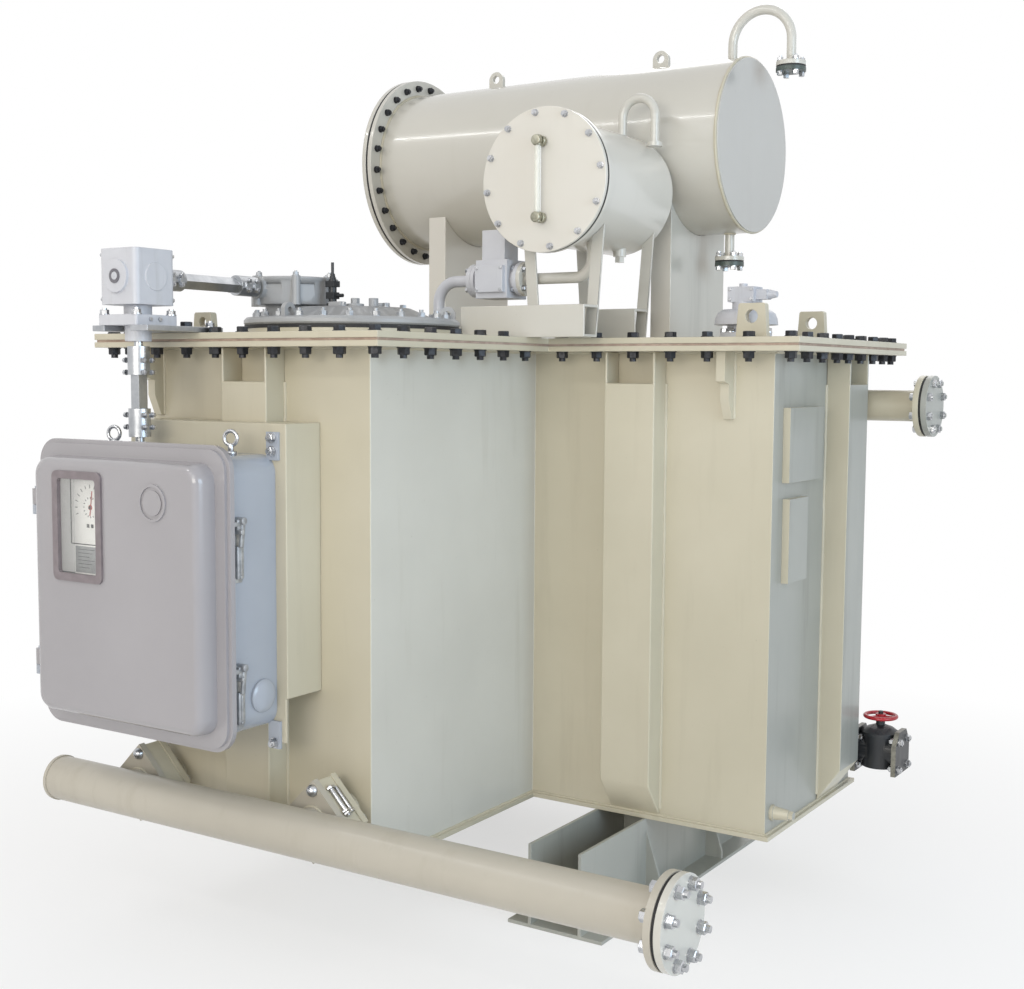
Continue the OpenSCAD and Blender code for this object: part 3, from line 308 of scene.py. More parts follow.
ironLook = {"paint": "#24272B", "shade": "#1B1D20", "dust": "#4A4742", "chip": "#5A4A3C", "drift": 70, "run": 22,
            "soil": 0.4, "speck": 0.5, "gloss": 0.36, "sheen": 0.12, "peel": 3, "depth": 0.12, "buckle": 2.0,
            "coat": 0.1}

creamEnamel = enamel("creamEnamel", creamLook)
paintedCoolLightEnamel = enamel("creamEnamelPaintedCoolLight", dict(creamLook, paint="#CDCBC2", shade="#C4C2B9"))  # the bay's right-facing side painted paler and cooler: painted cool light
# the low header pipe painted darker and greyer: painted shade, with more dust
pipeShadeEnamel = enamel("creamEnamelPipePaintedShade", dict(creamLook, paint="#BAB4A7", shade="#AEA89B", soil=0.34))
shadeAndGrimeEnamel = enamel("creamEnamelShadeAndGrime", dict(creamLook, paint="#A6A69E", shade="#989992", dust="#74726A",
                                                soil=0.5))  # end wall, rails and outlet blind painted darker: painted shade, with some real grime
paintedWeld = enamel("paintedWeldBead", dict(creamLook, peel=5, buckle=0.0, soil=0.5, run=18, gloss=0.42))
glossEnamel = enamel("creamEnamelGloss", glossLook)
paintedLightEnamel = enamel("creamEnamelGlossPaintedLight", dict(glossLook, paint="#D8D4CB", shade="#D1CDC4"))  # small conservator and saddles painted paler: painted light
paintedShadeEndEnamel = enamel("creamEnamelPaintedShadeEnd", dict(glossLook, paint="#BCBAB5", shade="#B4B2AD"))  # welded end painted greyer: painted shade on its right-facing side
smudgedEnamel = enamel("creamEnamelSmudged", dict(glossLook, soil=0.5, run=170, dust="#77756D"))  # hand marks
greyEnamel = enamel("greyEnamelCasting", greyLook)
lidEnamel = enamel("greyEnamelLid", dict(greyLook, paint="#A8A9AA", shade="#9E9FA1"))
greenEnamel = enamel("darkGreenGreyLowerPlate", dict(greyLook, paint="#4C5853", shade="#37413D", dust="#7C7F76", soil=0.5,
                                             drift=40, run=14))
cabinetEnamel = enamel("lilacGreyEnamel", cabinetLook)
# housing painted bluer and paler than the door: painted cool light on its side
coolLitHousingEnamel = enamel("blueGreyEnamelPaintedCoolLight", dict(cabinetLook, paint="#A9AFB9", shade="#A2A8B2"))
redEnamel = enamel("redEnamelWheel", redLook)
blackIron = enamel("blackEnamelIron", ironLook)
wornIron = enamel("wornEnamelIron", dict(ironLook, paint="#8C887B", shade="#625F56", soil=0.5, drift=24))  # rubbed


def plated(name, bright, dull, spangle, cloud, rough, metal=1.0):
    # zinc plate: soft grey metal with mottled spangle, duller in patches
    mat, shader, place = newMaterial(name)
    links = mat.node_tree.links
    cells = addNode(mat, "ShaderNodeTexVoronoi", {"Scale": 1000 / spangle, "Randomness": 1.0}, {"Vector": place})
    clouds = addNode(mat, "ShaderNodeTexNoise", {"Scale": 1000 / cloud, "Detail": 5.0}, {"Vector": place})
    blend = addNode(mat, "ShaderNodeMath", {"operation": "MULTIPLY_ADD", 1: 0.15},
                    {0: cells.outputs["Distance"], 2: clouds.outputs["Fac"]})
    tone = addNode(mat, "ShaderNodeValToRGB", {}, {"Fac": blend.outputs[0]})
    tone.color_ramp.elements[0].position, tone.color_ramp.elements[0].color = 0.38, hexColor(dull)
    tone.color_ramp.elements[1].position, tone.color_ramp.elements[1].color = 0.75, hexColor(bright)
    links.new(tone.outputs["Color"], shader.inputs["Base Color"])
    patches = addNode(mat, "ShaderNodeMapRange", {"From Min": 0.3, "From Max": 0.75, "To Min": rough + 0.12,
                                                  "To Max": rough}, {"Value": blend.outputs[0]})
    links.new(patches.outputs["Result"], shader.inputs["Roughness"])
    grain = addNode(mat, "ShaderNodeTexNoise", {"Scale": 1000 / 3.0, "Detail": 3.0}, {"Vector": place})
    bump = addNode(mat, "ShaderNodeBump", {"Strength": 0.03, "Distance": 0.0004}, {"Height": grain.outputs["Fac"]})
    links.new(bump.outputs["Normal"], shader.inputs["Normal"])
    shader.inputs["Metallic"].default_value = metal
    return mat


zincSteel = plated("zincPlatedSteel", "#BFC1C4", "#A6A9AD", 9, 60, 0.3)
latchZinc = plated("dullZincLatch", "#B9BBBD", "#94969A", 6, 20, 0.4, 0.6)
brightZinc = plated("brightZincFastener", "#CCCDCF", "#ABADB1", 5, 18, 0.24)
nickelBrass = plated("nickelPlatedBrass", "#B4B2A2", "#8F8D7E", 6, 16, 0.3)
blackOxide = plated("blackOxideSteel", "#34353A", "#1B1C1F", 4, 9, 0.36, 0.35)


def rubber(name, dark, pale, rough):
    # sheet rubber, plastic or ink: matt, greyed by dust, very fine grain
    mat, shader, place = newMaterial(name)
    links = mat.node_tree.links
    dust = addNode(mat, "ShaderNodeTexNoise", {"Scale": 1000 / 25.0, "Detail": 6.0}, {"Vector": place})
    tone = addNode(mat, "ShaderNodeValToRGB", {}, {"Fac": dust.outputs["Fac"]})
    tone.color_ramp.elements[0].position, tone.color_ramp.elements[0].color = 0.4, hexColor(dark)
    tone.color_ramp.elements[1].position, tone.color_ramp.elements[1].color = 0.8, hexColor(pale)
    links.new(tone.outputs["Color"], shader.inputs["Base Color"])
    grain = addNode(mat, "ShaderNodeTexNoise", {"Scale": 1000 / 2.0, "Detail": 2.0}, {"Vector": place})
    bump = addNode(mat, "ShaderNodeBump", {"Strength": 0.15, "Distance": 0.0003}, {"Height": grain.outputs["Fac"]})
    links.new(bump.outputs["Normal"], shader.inputs["Normal"])
    shader.inputs["Roughness"].default_value = rough
    return mat


blackRubber = rubber("blackSheetRubber", "#17171A", "#2D2C2C", 0.62)
paintedGasket = rubber("overpaintedGasket", "#A08A7C", "#BFA99A", 0.55)
sealRubber = rubber("greySealRubber", "#66656B", "#7E7C82", 0.5)
frameRubber = rubber("greyWindowRubber", "#7B7275", "#898083", 0.36)
glowingWhitePanel = rubber("whitePrintedPanelGlowing", "#DEDEDA", "#EBEBE8", 0.4)
glowingPanelShader = glowingWhitePanel.node_tree.nodes["Principled BSDF"]
glowingPanelShader.inputs["Emission Color"].default_value = (1.0, 0.97, 0.93, 1)
glowingPanelShader.inputs["Emission Strength"].default_value = 0.22  # painted light: the panel glows as if lit inside the cabinet, though no lamp stands there
platePanel = rubber("greyDataPlate", "#9C9EA2", "#B3B5B8", 0.35)
inkBlack = rubber("blackInk", "#1C1D20", "#303136", 0.5)
pointerRed = rubber("redPointerPaint", "#B5302C", "#C54A42", 0.4)


def glass(name, tint, rough, alpha):
    # thin pane or sight tube: light passes straight through, a little dust on it
    mat, shader, place = newMaterial(name)
    dust = addNode(mat, "ShaderNodeTexNoise", {"Scale": 1000 / 60.0, "Detail": 4.0}, {"Vector": place})
    haze = addNode(mat, "ShaderNodeMapRange", {"From Min": 0.35, "From Max": 0.8, "To Min": rough,
                                               "To Max": rough + 0.08}, {"Value": dust.outputs["Fac"]})
    mat.node_tree.links.new(haze.outputs["Result"], shader.inputs["Roughness"])
    shader.inputs["Base Color"].default_value = hexColor(tint)
    shader.inputs["IOR"].default_value = 1.45
    shader.inputs["Alpha"].default_value = alpha
    return mat


windowGlass = glass("clearWindowGlass", "#F4F7F6", 0.02, 0.1)
tubeGlass = glass("sightTubeGlass", "#F2F1E8", 0.06, 0.4)  # milky old tube
print("materials ready")

# finished copies of the solids: merged, edges broken, smooth shaded

solid = {"merge": 0.00002, "flat": 0.6, "corner": 40, "sliver": 0.00005}  # metres and degrees
finishOf = {  # finish, and width of the broken edge in mm
    # painted shade: rails, header pipe, outlet blind and conservator end; painted light: small conservator, saddles,
    # cabinet housing and the glowing indicator panel
    "base_rails": (shadeAndGrimeEnamel, 2.0), "tank_bottom": (creamEnamel, 1.5), "tank_walls": (creamEnamel, 3.0),
    "tank_stiffeners": (creamEnamel, 4.0), "tank_fittings": (creamEnamel, 2.0), "tank_rim": (creamEnamel, 1.5),
    "cover_gasket": (paintedGasket, 0.0), "tank_cover": (creamEnamel, 1.5), "cover_lugs": (creamEnamel, 2.5),
    "header_pipe": (pipeShadeEnamel, 1.2), "header_blind": (glossEnamel, 1.2), "header_valves": (creamEnamel, 1.5),
    "outlet_pipe": (creamEnamel, 1.2), "outlet_blind": (shadeAndGrimeEnamel, 0.8), "drain_valve": (blackIron, 1.5),
    "drain_handwheel": (redEnamel, 1.0), "conservator_shell": (glossEnamel, 1.2), "conservator_end": (paintedShadeEndEnamel, 1.5),
    "conservator_cover": (glossEnamel, 1.2), "conservator_supports": (paintedLightEnamel, 2.0),
    "conservator_breather": (glossEnamel, 1.0), "conservator_drain": (glossEnamel, 1.0),
    "tap_conservator_shell": (paintedLightEnamel, 1.5), "tap_conservator_cover": (paintedLightEnamel, 1.5),
    "tap_conservator_stand": (glossEnamel, 1.5), "tap_breather": (glossEnamel, 1.0), "relay_pipe": (greyEnamel, 1.2),
    "gas_relay": (greyEnamel, 3.0), "feed_pipe": (glossEnamel, 1.2), "tap_head_flange": (creamEnamel, 1.2),
    "tap_head_lid": (lidEnamel, 2.0), "tap_head_gear": (lidEnamel, 1.5), "head_valve": (blackIron, 1.0),
    "horizontal_shaft": (zincSteel, 1.2), "bevel_gearbox": (greyEnamel, 3.0), "gearbox_bracket": (zincSteel, 1.2),
    "vertical_shaft": (zincSteel, 1.2), "cabinet_bracket": (creamEnamel, 3.0), "cabinet_housing": (coolLitHousingEnamel, 2.0),
    "cabinet_door": (cabinetEnamel, 4.0), "indicator_panel": (glowingWhitePanel, 0.8), "pressure_relief": (greyEnamel, 2.5),
}
bodyOf = {"cabinet_door": "cabinet_door", "drain_handwheel": "drain_handwheel",
          "horizontal_shaft": "horizontal_shaft", "vertical_shaft": "vertical_shaft"}

for node, (mat, edge) in finishOf.items():
    copy = bpy.data.objects.new(node + "_finish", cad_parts[node].data.copy())
    bpy.context.scene.collection.objects.link(copy)
    pick(copy)
    bpy.ops.object.mode_set(mode="EDIT")
    bpy.ops.mesh.select_all(action="SELECT")
    bpy.ops.mesh.remove_doubles(threshold=solid["merge"])
    bpy.ops.mesh.dissolve_limited(angle_limit=math.radians(solid["flat"]))
    bpy.ops.object.mode_set(mode="OBJECT")
    if edge:
        modify(copy, "BEVEL", width=edge / 1000, segments=2, limit_method="ANGLE",
               angle_limit=math.radians(solid["corner"]), use_clamp_overlap=True)
    bpy.ops.object.mode_set(mode="EDIT")
    bpy.ops.mesh.select_all(action="SELECT")
    bpy.ops.mesh.dissolve_degenerate(threshold=solid["sliver"])
    bpy.ops.object.mode_set(mode="OBJECT")
    smooth(copy, solid["corner"])
    modify(copy, "WEIGHTED_NORMAL", keep_sharp=True, weight=60)
    settle(copy, node + "_finish", mat, bodyOf.get(node, "transformer"))
    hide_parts(node)


def repaint(node, mat, test):  # another finish on the faces whose middle, normal and corners pass the test, mm
    mesh = bpy.data.objects[node + "_finish"].data
    mesh.materials.append(mat)
    for poly in mesh.polygons:
        corners = [(mesh.vertices[v].co - corner) * 1000 for v in poly.vertices]
        if test((poly.center - corner) * 1000, poly.normal, corners):
            poly.material_index = len(mesh.materials) - 1


patch = {"facing": 0.9, "endWall": -6, "bay": (-740, -700), "saddle": -430, "drainFlanges": ((44, 58), (164, 178))}
for node, level in (("conservator_breather", 2067), ("conservator_drain", 1533)):  # the lower plates at the breather and drain ends are dark green-grey
    repaint(node, greenEnamel, lambda c, n, ends: c.z < level)
for node in ("tank_walls", "tank_stiffeners", "tank_fittings"):  # the end with the drain valve is painted darker: painted shade, with some grime
    repaint(node, shadeAndGrimeEnamel, lambda c, n, ends: n.x > patch["facing"] and c.x > patch["endWall"])
# the bay's right-facing side: painted cool light
repaint("tank_walls", paintedCoolLightEnamel, lambda c, n, ends: n.x > patch["facing"] and patch["bay"][0] < c.x < patch["bay"][1])
repaint("conservator_supports", smudgedEnamel, lambda c, n, ends: n.x > patch["facing"] and c.x > patch["saddle"])
repaint("drain_valve", wornIron,
        lambda c, n, ends: abs(n.x) < 0.3 and any(low < c.x < high for low, high in patch["drainFlanges"]))
print("solids finished:", len(finishOf))

# the glass pane stays as it is with its own finish
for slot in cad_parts["door_window"].material_slots:
    slot.material = windowGlass

# cover bolts: M18, head and washer on the cover, nut and stud end under the rim

coverBolts = {"flats": 27, "head": 11, "nut": 14, "washer": 34, "stud": 18, "end": 10, "line": 69,
              "front": [-44, -159, -264, -374, -484, -592],
              "step": [-165, -273, -381, -489, -597, -705],
              "bay": [-757, -862, -963, -1066, -1158, -1258, -1365, -1463],
              "left": [-705, -600, -500, -400, -298, -190, -100, 10, 120, 230, 340, 445, 546, 620],
              "back": [-46, -165, -273, -384, -490, -600, -710, -820, -945, -1066, -1170, -1275, -1385, -1470],
              "right": [40, 149, 258, 345, 445, 546, 632],
              "onPlate": -1258, "plateTop": 1315, "noHead": -1365}  # under the gearbox plate
g = coverBolts["line"]
leftX, stepX = -tank["long"] - g, -tank["long"] + tank["bayLong"] + g
bayY, backY = -tank["bayDeep"] - g, tank["deep"] + g
rows = [(x, -g) for x in coverBolts["front"]] + [(stepX, y) for y in coverBolts["step"]]
rows += [(x, bayY) for x in coverBolts["bay"]] + [(leftX, y) for y in coverBolts["left"]]
rows += [(x, backY) for x in coverBolts["back"]] + [(g, y) for y in coverBolts["right"]]
rows += [(g, -g), (g, backY), (leftX, backY), (leftX, bayY), (stepX, bayY)]
spots = []
for i, (x, y) in enumerate(rows):
    if (x, y) != (coverBolts["noHead"], bayY):
        raised = (x, y) == (coverBolts["onPlate"], bayY)
        spots.append(((x, y, coverBolts["plateTop"] if raised else tank["cover"]), up, 23 * i))
heads = spread(bolt(coverBolts["flats"], coverBolts["head"], coverBolts["washer"]), spots)
nuts = spread(bolt(coverBolts["flats"], coverBolts["nut"], coverBolts["washer"], coverBolts["stud"], coverBolts["end"]),
              [((x, y, tank["wall"]), down, 31 * i) for i, (x, y) in enumerate(rows)])
settle(smooth(joined([heads, nuts]), 30), "cover_bolts", blackOxide)
print("cover bolts:", len(rows))

# gaskets between the bolted flanges

axisOf = {"header": (-950, 127), "outlet": (588, 1121), "conservator": (420, 1858), "drain": (586, 120)}  # y and z
tapDrum = {"x": -547, "z": 1704, "cover": -250, "flange": -219}
endPlates = {"spots": ((-146, 420, 2053), (-322, 420, 1519)), "pair": 28, "gasket": 12.2}  # breather and drain ends
rings = [flatRing(97, 73, 6.6, (201.2, *axisOf["header"]), right),
         flatRing(83, 57, 6.6, (216.2, *axisOf["outlet"]), right),
         flatRing(293, 261, 6.6, (-1430.8, *axisOf["conservator"]), right, 128),
         flatRing(185.5, 179.3, 6.6, (tapDrum["x"], -237.8, tapDrum["z"]), back, 128)]
rings += [flatRing(41, 25.4, 3.6, (x, y, z + endPlates["gasket"])) for x, y, z in endPlates["spots"]]
rings.append(flatRing(293.4, 285, 10, (-1100, -345, 1319.6), up, 128))
settle(smooth(joined(rings), 30), "flange_gaskets", blackRubber)

# bolt circles: across flats, head, washer, stud, stud end, then centre, radius, count, axis, start

consBolts = {"nut": (17, 9, 21, 11, 5), "head": (17, 9, 21), "circle": (270, 26), "faces": (-1410, -1445), "start": 4}
nuts = boltCircle(consBolts["nut"], (consBolts["faces"][0], *axisOf["conservator"]), *consBolts["circle"], right,
                  consBolts["start"])
heads = boltCircle(consBolts["head"], (consBolts["faces"][1], *axisOf["conservator"]), *consBolts["circle"], left,
                   consBolts["start"])
settle(smooth(joined([nuts, heads]), 30), "conservator_bolts", blackOxide)

circles = [((24, 13, 30, 16, 10), (224, *axisOf["header"]), 80, 8, right, 22.5),
           ((24, 13, 30), (185, *axisOf["header"]), 80, 8, left, 22.5),
           ((21, 9.3, 0, 12.6, 4.5), (239, *axisOf["outlet"]), 69, 8, right, 22.5),
           ((19, 9, 24), (200, *axisOf["outlet"]), 69, 8, left, 22.5),
           ((14, 7, 18, 9, 3), (tapDrum["x"], tapDrum["cover"], tapDrum["z"]), 173, 12, front, 8),
           ((14, 7), (tapDrum["x"], tapDrum["flange"], tapDrum["z"]), 175.5, 12, back, 8)]
for x, y, z in endPlates["spots"]:
    circles += [((15, 8, 19, 9, 4), (x, y, z + endPlates["pair"]), 32.5, 4, up, 45),
                ((15, 8, 19), (x, y, z), 32.5, 4, down, 45)]
group = [boltCircle(*circle) for circle in circles]
for dy, dz in ((-42, -44), (42, -44), (-36, 34), (36, 34)):  # drain valve flanges
    y, z = axisOf["drain"][0] + dy, axisOf["drain"][1] + dz
    group.append(spread(bolt(17, 8, 22, 10, 3), [((58, y, z), right, 10), ((178, y, z), right, 25),
                                                 ((164, y, z), left, 40)]))
settle(smooth(joined(group), 30), "flange_bolts", brightZinc)

# square valve blocks under the cabinet: dome nuts near the corners, locking rod on the upper right side

valves = {"across": (-1393, -798), "level": 127, "faces": (-871.5, -787.5), "reach": 78, "dome": 15.5,
          "lock": 54, "rod": 88, "rodLine": -838, "pinLine": -822}
bpy.ops.object.select_all(action="DESELECT")
bpy.ops.mesh.primitive_uv_sphere_add(segments=20, ring_count=10, radius=valves["dome"] / 1000)
dome = bpy.context.object
bpy.ops.object.mode_set(mode="EDIT")
bpy.ops.mesh.select_all(action="SELECT")
bpy.ops.mesh.bisect(plane_co=(0, 0, 0.001), plane_no=up, use_fill=True, clear_inner=True)
bpy.ops.object.mode_set(mode="OBJECT")
spots = []
for x in valves["across"]:
    for dx, dz in ((-1, 0), (1, 0), (0, -1), (0, 1)):
        x1, z1 = x + dx * valves["reach"], valves["level"] + dz * valves["reach"]
        spots += [((x1, valves["faces"][0], z1), front, 0), ((x1, valves["faces"][1], z1), back, 0)]
domes = spread(dome, spots)
lockX, lockZ, slope = valves["across"][1] + valves["lock"], valves["level"] + valves["lock"], (1, 0, -1)
rods = [drum(6, valves["rod"], (lockX, valves["rodLine"], lockZ), slope, 16, 1.0),
        drum(4.5, valves["rod"] - 16, (lockX + 1, valves["pinLine"], lockZ + 1), slope, 14, 1.0)]
for along in (-38, 30, 37):  # nuts on the rod
    shift = along * 0.7071
    rods.append(drum(11, 6, (lockX + shift, valves["rodLine"], lockZ - shift), slope, 6, 0.8))
rods.append(drum(9, 8, (lockX + 24, valves["pinLine"], lockZ - 24), slope, 6, 0.8))
settle(smooth(joined([domes] + rods), 35), "valve_block_fasteners", brightZinc)
print("flange bolts ready")

# tap changer head: lid bolts, plugs on the crown, gear rim screws, relay pipe foot

head = {"x": -1100, "y": -345, "lid": 1350, "crown": 1380, "bolts": 24, "radius": 262, "start": 7.5,
        "eyes": (30, 150, 270), "foot": (-972.7, -116), "footTop": 1360, "footReach": 46}
spots = []
lidCircle = circleSpots((head["x"], head["y"], head["lid"]), head["radius"], head["bolts"], up, head["start"])
for i, spot in enumerate(lidCircle):
    angle = head["start"] + 360 * i / head["bolts"]
    nearEye = any(abs((angle - e + 180) % 360 - 180) < 7 for e in head["eyes"])
    nearFoot = (Vector(spot[0]) - Vector((*head["foot"], head["lid"]))).length <= head["footReach"]
    if not nearEye and not nearFoot:
        spots.append(spot)
crownSpots = circleSpots((head["x"], head["y"], head["crown"]), 138, 7, up, -62)[:5]
group = [spread(bolt(19, 10, 25, 12, 8), spots),
         boltCircle((13, 7, 17), (*head["foot"], head["footTop"]), 24, 4, up, 20),
         boltCircle((14, 7, 18, 8, 4), (-1260, -407, 1464), 110, 6, up, 15),  # gear casting
         spread(bolt(17, 8, 22), crownSpots)]
settle(smooth(joined(group), 30), "tap_head_fasteners", latchZinc)
plugs = [drum(19, 14, (-1022, -318, 1387), sides=32, edge=1.5), drum(24, 8, (-1030, -420, 1384), sides=32, edge=1.2),
         drum(12, 22, (-1030, -420, 1392), sides=6, edge=1.0), drum(15, 18, (-1075, -250, 1389), sides=24, edge=2.0),
         drum(13, 30, (-985, -398, 1388), sides=24, edge=1.5), block((44, 20, 16), (-1052, -470, 1384), 2)]
settle(smooth(joined(plugs), 35), "tap_head_plugs", lidEnamel)
print("tap changer head ready")

# bevel gearbox: bearing cover with seal ring, corner screws, foot bolts

gearbox = {"x": -1281, "y": -953, "z": 1433, "half": 64, "foot": 1341, "front": -1025, "plate": 1315, "neck": 1330}
gx, gy, gz = gearbox["x"], gearbox["y"], gearbox["z"]
signs = [(a, b) for a in (-1, 1) for b in (-1, 1)]  # four corners
seal = flatRing(17.5, 10.5, 2.2, (gx, gearbox["front"], gz), front, 48)
settle(smooth(seal, 30), "gearbox_seal", sealRubber)
button = joined([drum(10, 4, (gx, gearbox["front"] - 0.5, gz), front, 32, 1.2),
                 drum(2.5, 2, (gx, gearbox["front"] - 3, gz), front, 16, 0.5)])
settle(smooth(button, 30), "gearbox_seal_button", greyEnamel)
feet = [((gx + a * 56, gy + b * 56, gearbox["foot"]), up, 15) for a, b in signs]
feet += [((gx + dx, -790, gearbox["plate"]), up, 20) for dx in (-66, 82)]
caps = [((gx - gearbox["half"], gy + a * 50, gz + b * 54), left, 0) for a, b in signs]
caps += [((gx + a * 50, gy + gearbox["half"], gz + b * 54), back, 0) for a, b in signs]
group = [spread(bolt(19, 9, 26, 12, 5), feet), spread(bolt(9, 4, 11), caps),
         spread(bolt(10, 4), [((gx + 67, gy + dy, gearbox["neck"]), right, 0) for dy in (-22, 8)])]
settle(smooth(joined(group), 30), "gearbox_fasteners", brightZinc)

# clamp screws on the shaft couplings, turning with their shafts

clamps = {"vertical": (1066, 1096, 1201, 1231), "across": (-868, -838, -596, -566), "out": 31, "apart": 12,
          "screw": (11, 6, 14, 6, 3)}
upright = [((gx + a * clamps["out"], gy + b * clamps["apart"], z), (a, 0, 0), 0)
           for z in clamps["vertical"] for a, b in signs]
settle(smooth(spread(bolt(*clamps["screw"]), upright), 30), "vertical_coupling_screws", brightZinc, "vertical_shaft")
crosswise = [((gx + a * clamps["out"], y, gz + b * clamps["apart"]), (a, 0, 0), 0)
             for y in clamps["across"] for a, b in signs]
settle(smooth(spread(bolt(*clamps["screw"]), crosswise), 30), "cross_coupling_screws", brightZinc, "horizontal_shaft")
print("drive ready")

# gas relay: flange bolts, front plate screws

relay = {"x": -837, "y": -116, "z": 1461, "middle": 75, "front": 64, "screw": (13, 7, 17),
         "flanges": ((-14, 36, left), (12, 40, right), (138, 40, left), (162, 36, right))}
group = [boltCircle(relay["screw"], (relay["x"] + dx, relay["y"], relay["z"]), radius, 4, axis, 45)
         for dx, radius, axis in relay["flanges"]]
plateX, plateY = relay["x"] + relay["middle"], relay["y"] - relay["front"]
group.append(spread(bolt(8, 3), [((plateX + a * 38, plateY, relay["z"] + b * 29), front, 0) for a, b in signs]))
settle(smooth(joined(group), 30), "gas_relay_screws", brightZinc)

# pressure relief valve: base bolts, lid screws

relief = {"x": -126, "y": 100, "base": 16, "lid": 116}
lidX, lidY, lidZ = relief["x"] - 5, relief["y"] - 30, tank["cover"] + relief["lid"]
group = [boltCircle((17, 8, 22), (relief["x"], relief["y"], tank["cover"] + relief["base"]), 59, 6, up, 12),
         spread(bolt(8, 3), [((lidX + a * 30, lidY, lidZ + b * 13), front, 0) for a, b in signs])]
settle(smooth(joined(group), 30), "relief_valve_screws", brightZinc)
print("relay and relief valve ready")

# oil sight gauge: glass tube between two pairs of round knobs

gauge = {"x": -547, "front": -250, "low": 1606, "high": 1800, "tube": 8, "wall": 1.8, "stand": 28,
         "knobs": ((9, 30, 15, 24, 0.8, 2), (14, 14, 9, 32, 2.5, 3), (13.5, 15, 32, 32, 2.5, 3))}
knobs = []
for z in (gauge["low"], gauge["high"]):
    for radius, depth, out, sides, edge, steps in gauge["knobs"]:
        knobs.append(drum(radius, depth, (gauge["x"], gauge["front"] - out, z), front, sides, edge, steps))
    knobs.append(drum(11, 26, (gauge["x"], gauge["front"] - gauge["stand"], z), up, 24, 1.5))
knobs = settle(smooth(joined(knobs), 35), "gauge_knobs", nickelBrass)
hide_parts("oil_gauge")
mid, span, line = (gauge["low"] + gauge["high"]) / 2, gauge["high"] - gauge["low"], gauge["front"] - gauge["stand"]
tube = flatRing(gauge["tube"], gauge["tube"] - gauge["wall"], span - 24, (gauge["x"], line, gauge["low"] + 12), up, 32)
settle(smooth(tube, 40), "gauge_tube", tubeGlass)
# the white strip behind the tube glows: painted light
settle(block((5, 3, span - 26), (gauge["x"], line + 13, mid), 0.6), "gauge_back_strip", glowingWhitePanel)
print("gauge ready")

# cabinet: grey ring round the window, indicator face, latches, eye bolts

cabinet = {"side": -910, "top": 1008, "panel": -1045.2, "eyes": (-1374, -974), "eyeLine": -953}
window = {"x": -1324, "z": 829, "halfWide": 92, "halfHigh": 140, "proud": -1108.5}


def onRing(p):  # raised ring round the pane
    inside = abs(p.x - window["x"]) < window["halfWide"] and abs(p.z - window["z"]) < window["halfHigh"]
    return inside and p.y < window["proud"]


repaint("cabinet_door", frameRubber, lambda c, n, ends: all(onRing(p) for p in ends))

face = {"x": -1359, "z": 868, "plane": cabinet["panel"], "scale": (13, 200, -18, 52, (1.6, 0.8, 9)),
        "inner": (16, 0, 22.5, 24, (1.8, 0.8, 4.5))}
marks = [block((2.5, 1, 170), (-1431, face["plane"], 860), 0), block((100, 1, 2.5), (-1381, face["plane"], 775), 0)]
for count, first, pitch, radius, size in (face["scale"], face["inner"]):  # plain lines on two arcs
    for i in range(count):
        a = math.radians(first + i * pitch)
        marks.append(block(size, (face["x"] + radius * math.cos(a), face["plane"], face["z"] + radius * math.sin(a)), 0,
                           Matrix.Rotation(math.pi / 2 - a, 4, "Y")))
marks += [block((9, 1.2, 9), (x, face["plane"], 822), 0.3) for x in (-1369, -1354)]
marks.append(drum(4, 3, (face["x"], face["plane"] - 2, face["z"]), front, 20, 0.5))
for i in range(6):  # rows on the data plate
    marks.append(block((58 - 9 * (i % 3), 0.5, 1.2), (-1376 - 4.5 * (i % 3), face["plane"] - 1.1, 762 - 9 * i), 0))
settle(joined(marks), "indicator_marks", inkBlack)
hand = joined([block((2.6, 1.2, 62), (face["x"] + 3, face["plane"] - 1.4, face["z"] + 10), 0.4,
                     Matrix.Rotation(math.radians(8), 4, "Y")),
               drum(6.5, 1.6, (face["x"], face["plane"] - 1.0, face["z"]), front, 24, 0.4)])
settle(hand, "indicator_pointer", pointerRed)
# the white back sheet glows: painted light
settle(block((72, 2, 250), (-1467, face["plane"] + 8, 826), 0.5), "indicator_back_sheet", glowingWhitePanel)
settle(block((86, 1.6, 66), (-1373, face["plane"] + 0.2, 737), 0.5), "indicator_data_plate", platePanel)
print("indicator ready")

latch = {"tops": (851, 506), "line": -1004, "lean": math.radians(-6)}
x, y = cabinet["side"], latch["line"]
parts = []
for z in latch["tops"]:  # base plate, catch, hook, pivots, lever, spring plate, rivets
    parts += [block((4, 30, 150), (x + 2, y, z - 62), 1.5), block((16, 14, 26), (x + 10, y - 8, z), 3),
              block((9, 26, 12), (x + 14, y - 18, z + 2), 3), drum(9, 26, (x + 13, y + 1, z + 9), right, 24, 2.0),
              drum(6.5, 30, (x + 14, y - 8, z - 16), right, 20, 1.5),
              block((7, 13, 62), (x + 17, y + 1, z - 22), 2.5, Matrix.Rotation(latch["lean"], 4, "X")),
              block((9, 22, 78), (x + 9, y, z - 88), 3), block((3, 7, 60), (x + 14, y, z - 86), 1.2),
              drum(4.5, 8, (x + 12, y, z - 122), right, 16, 1.0), drum(4, 7, (x + 5, y + 10, z - 62), right, 16, 1.0)]
settle(smooth(joined(parts), 35), "cabinet_latches", latchZinc)

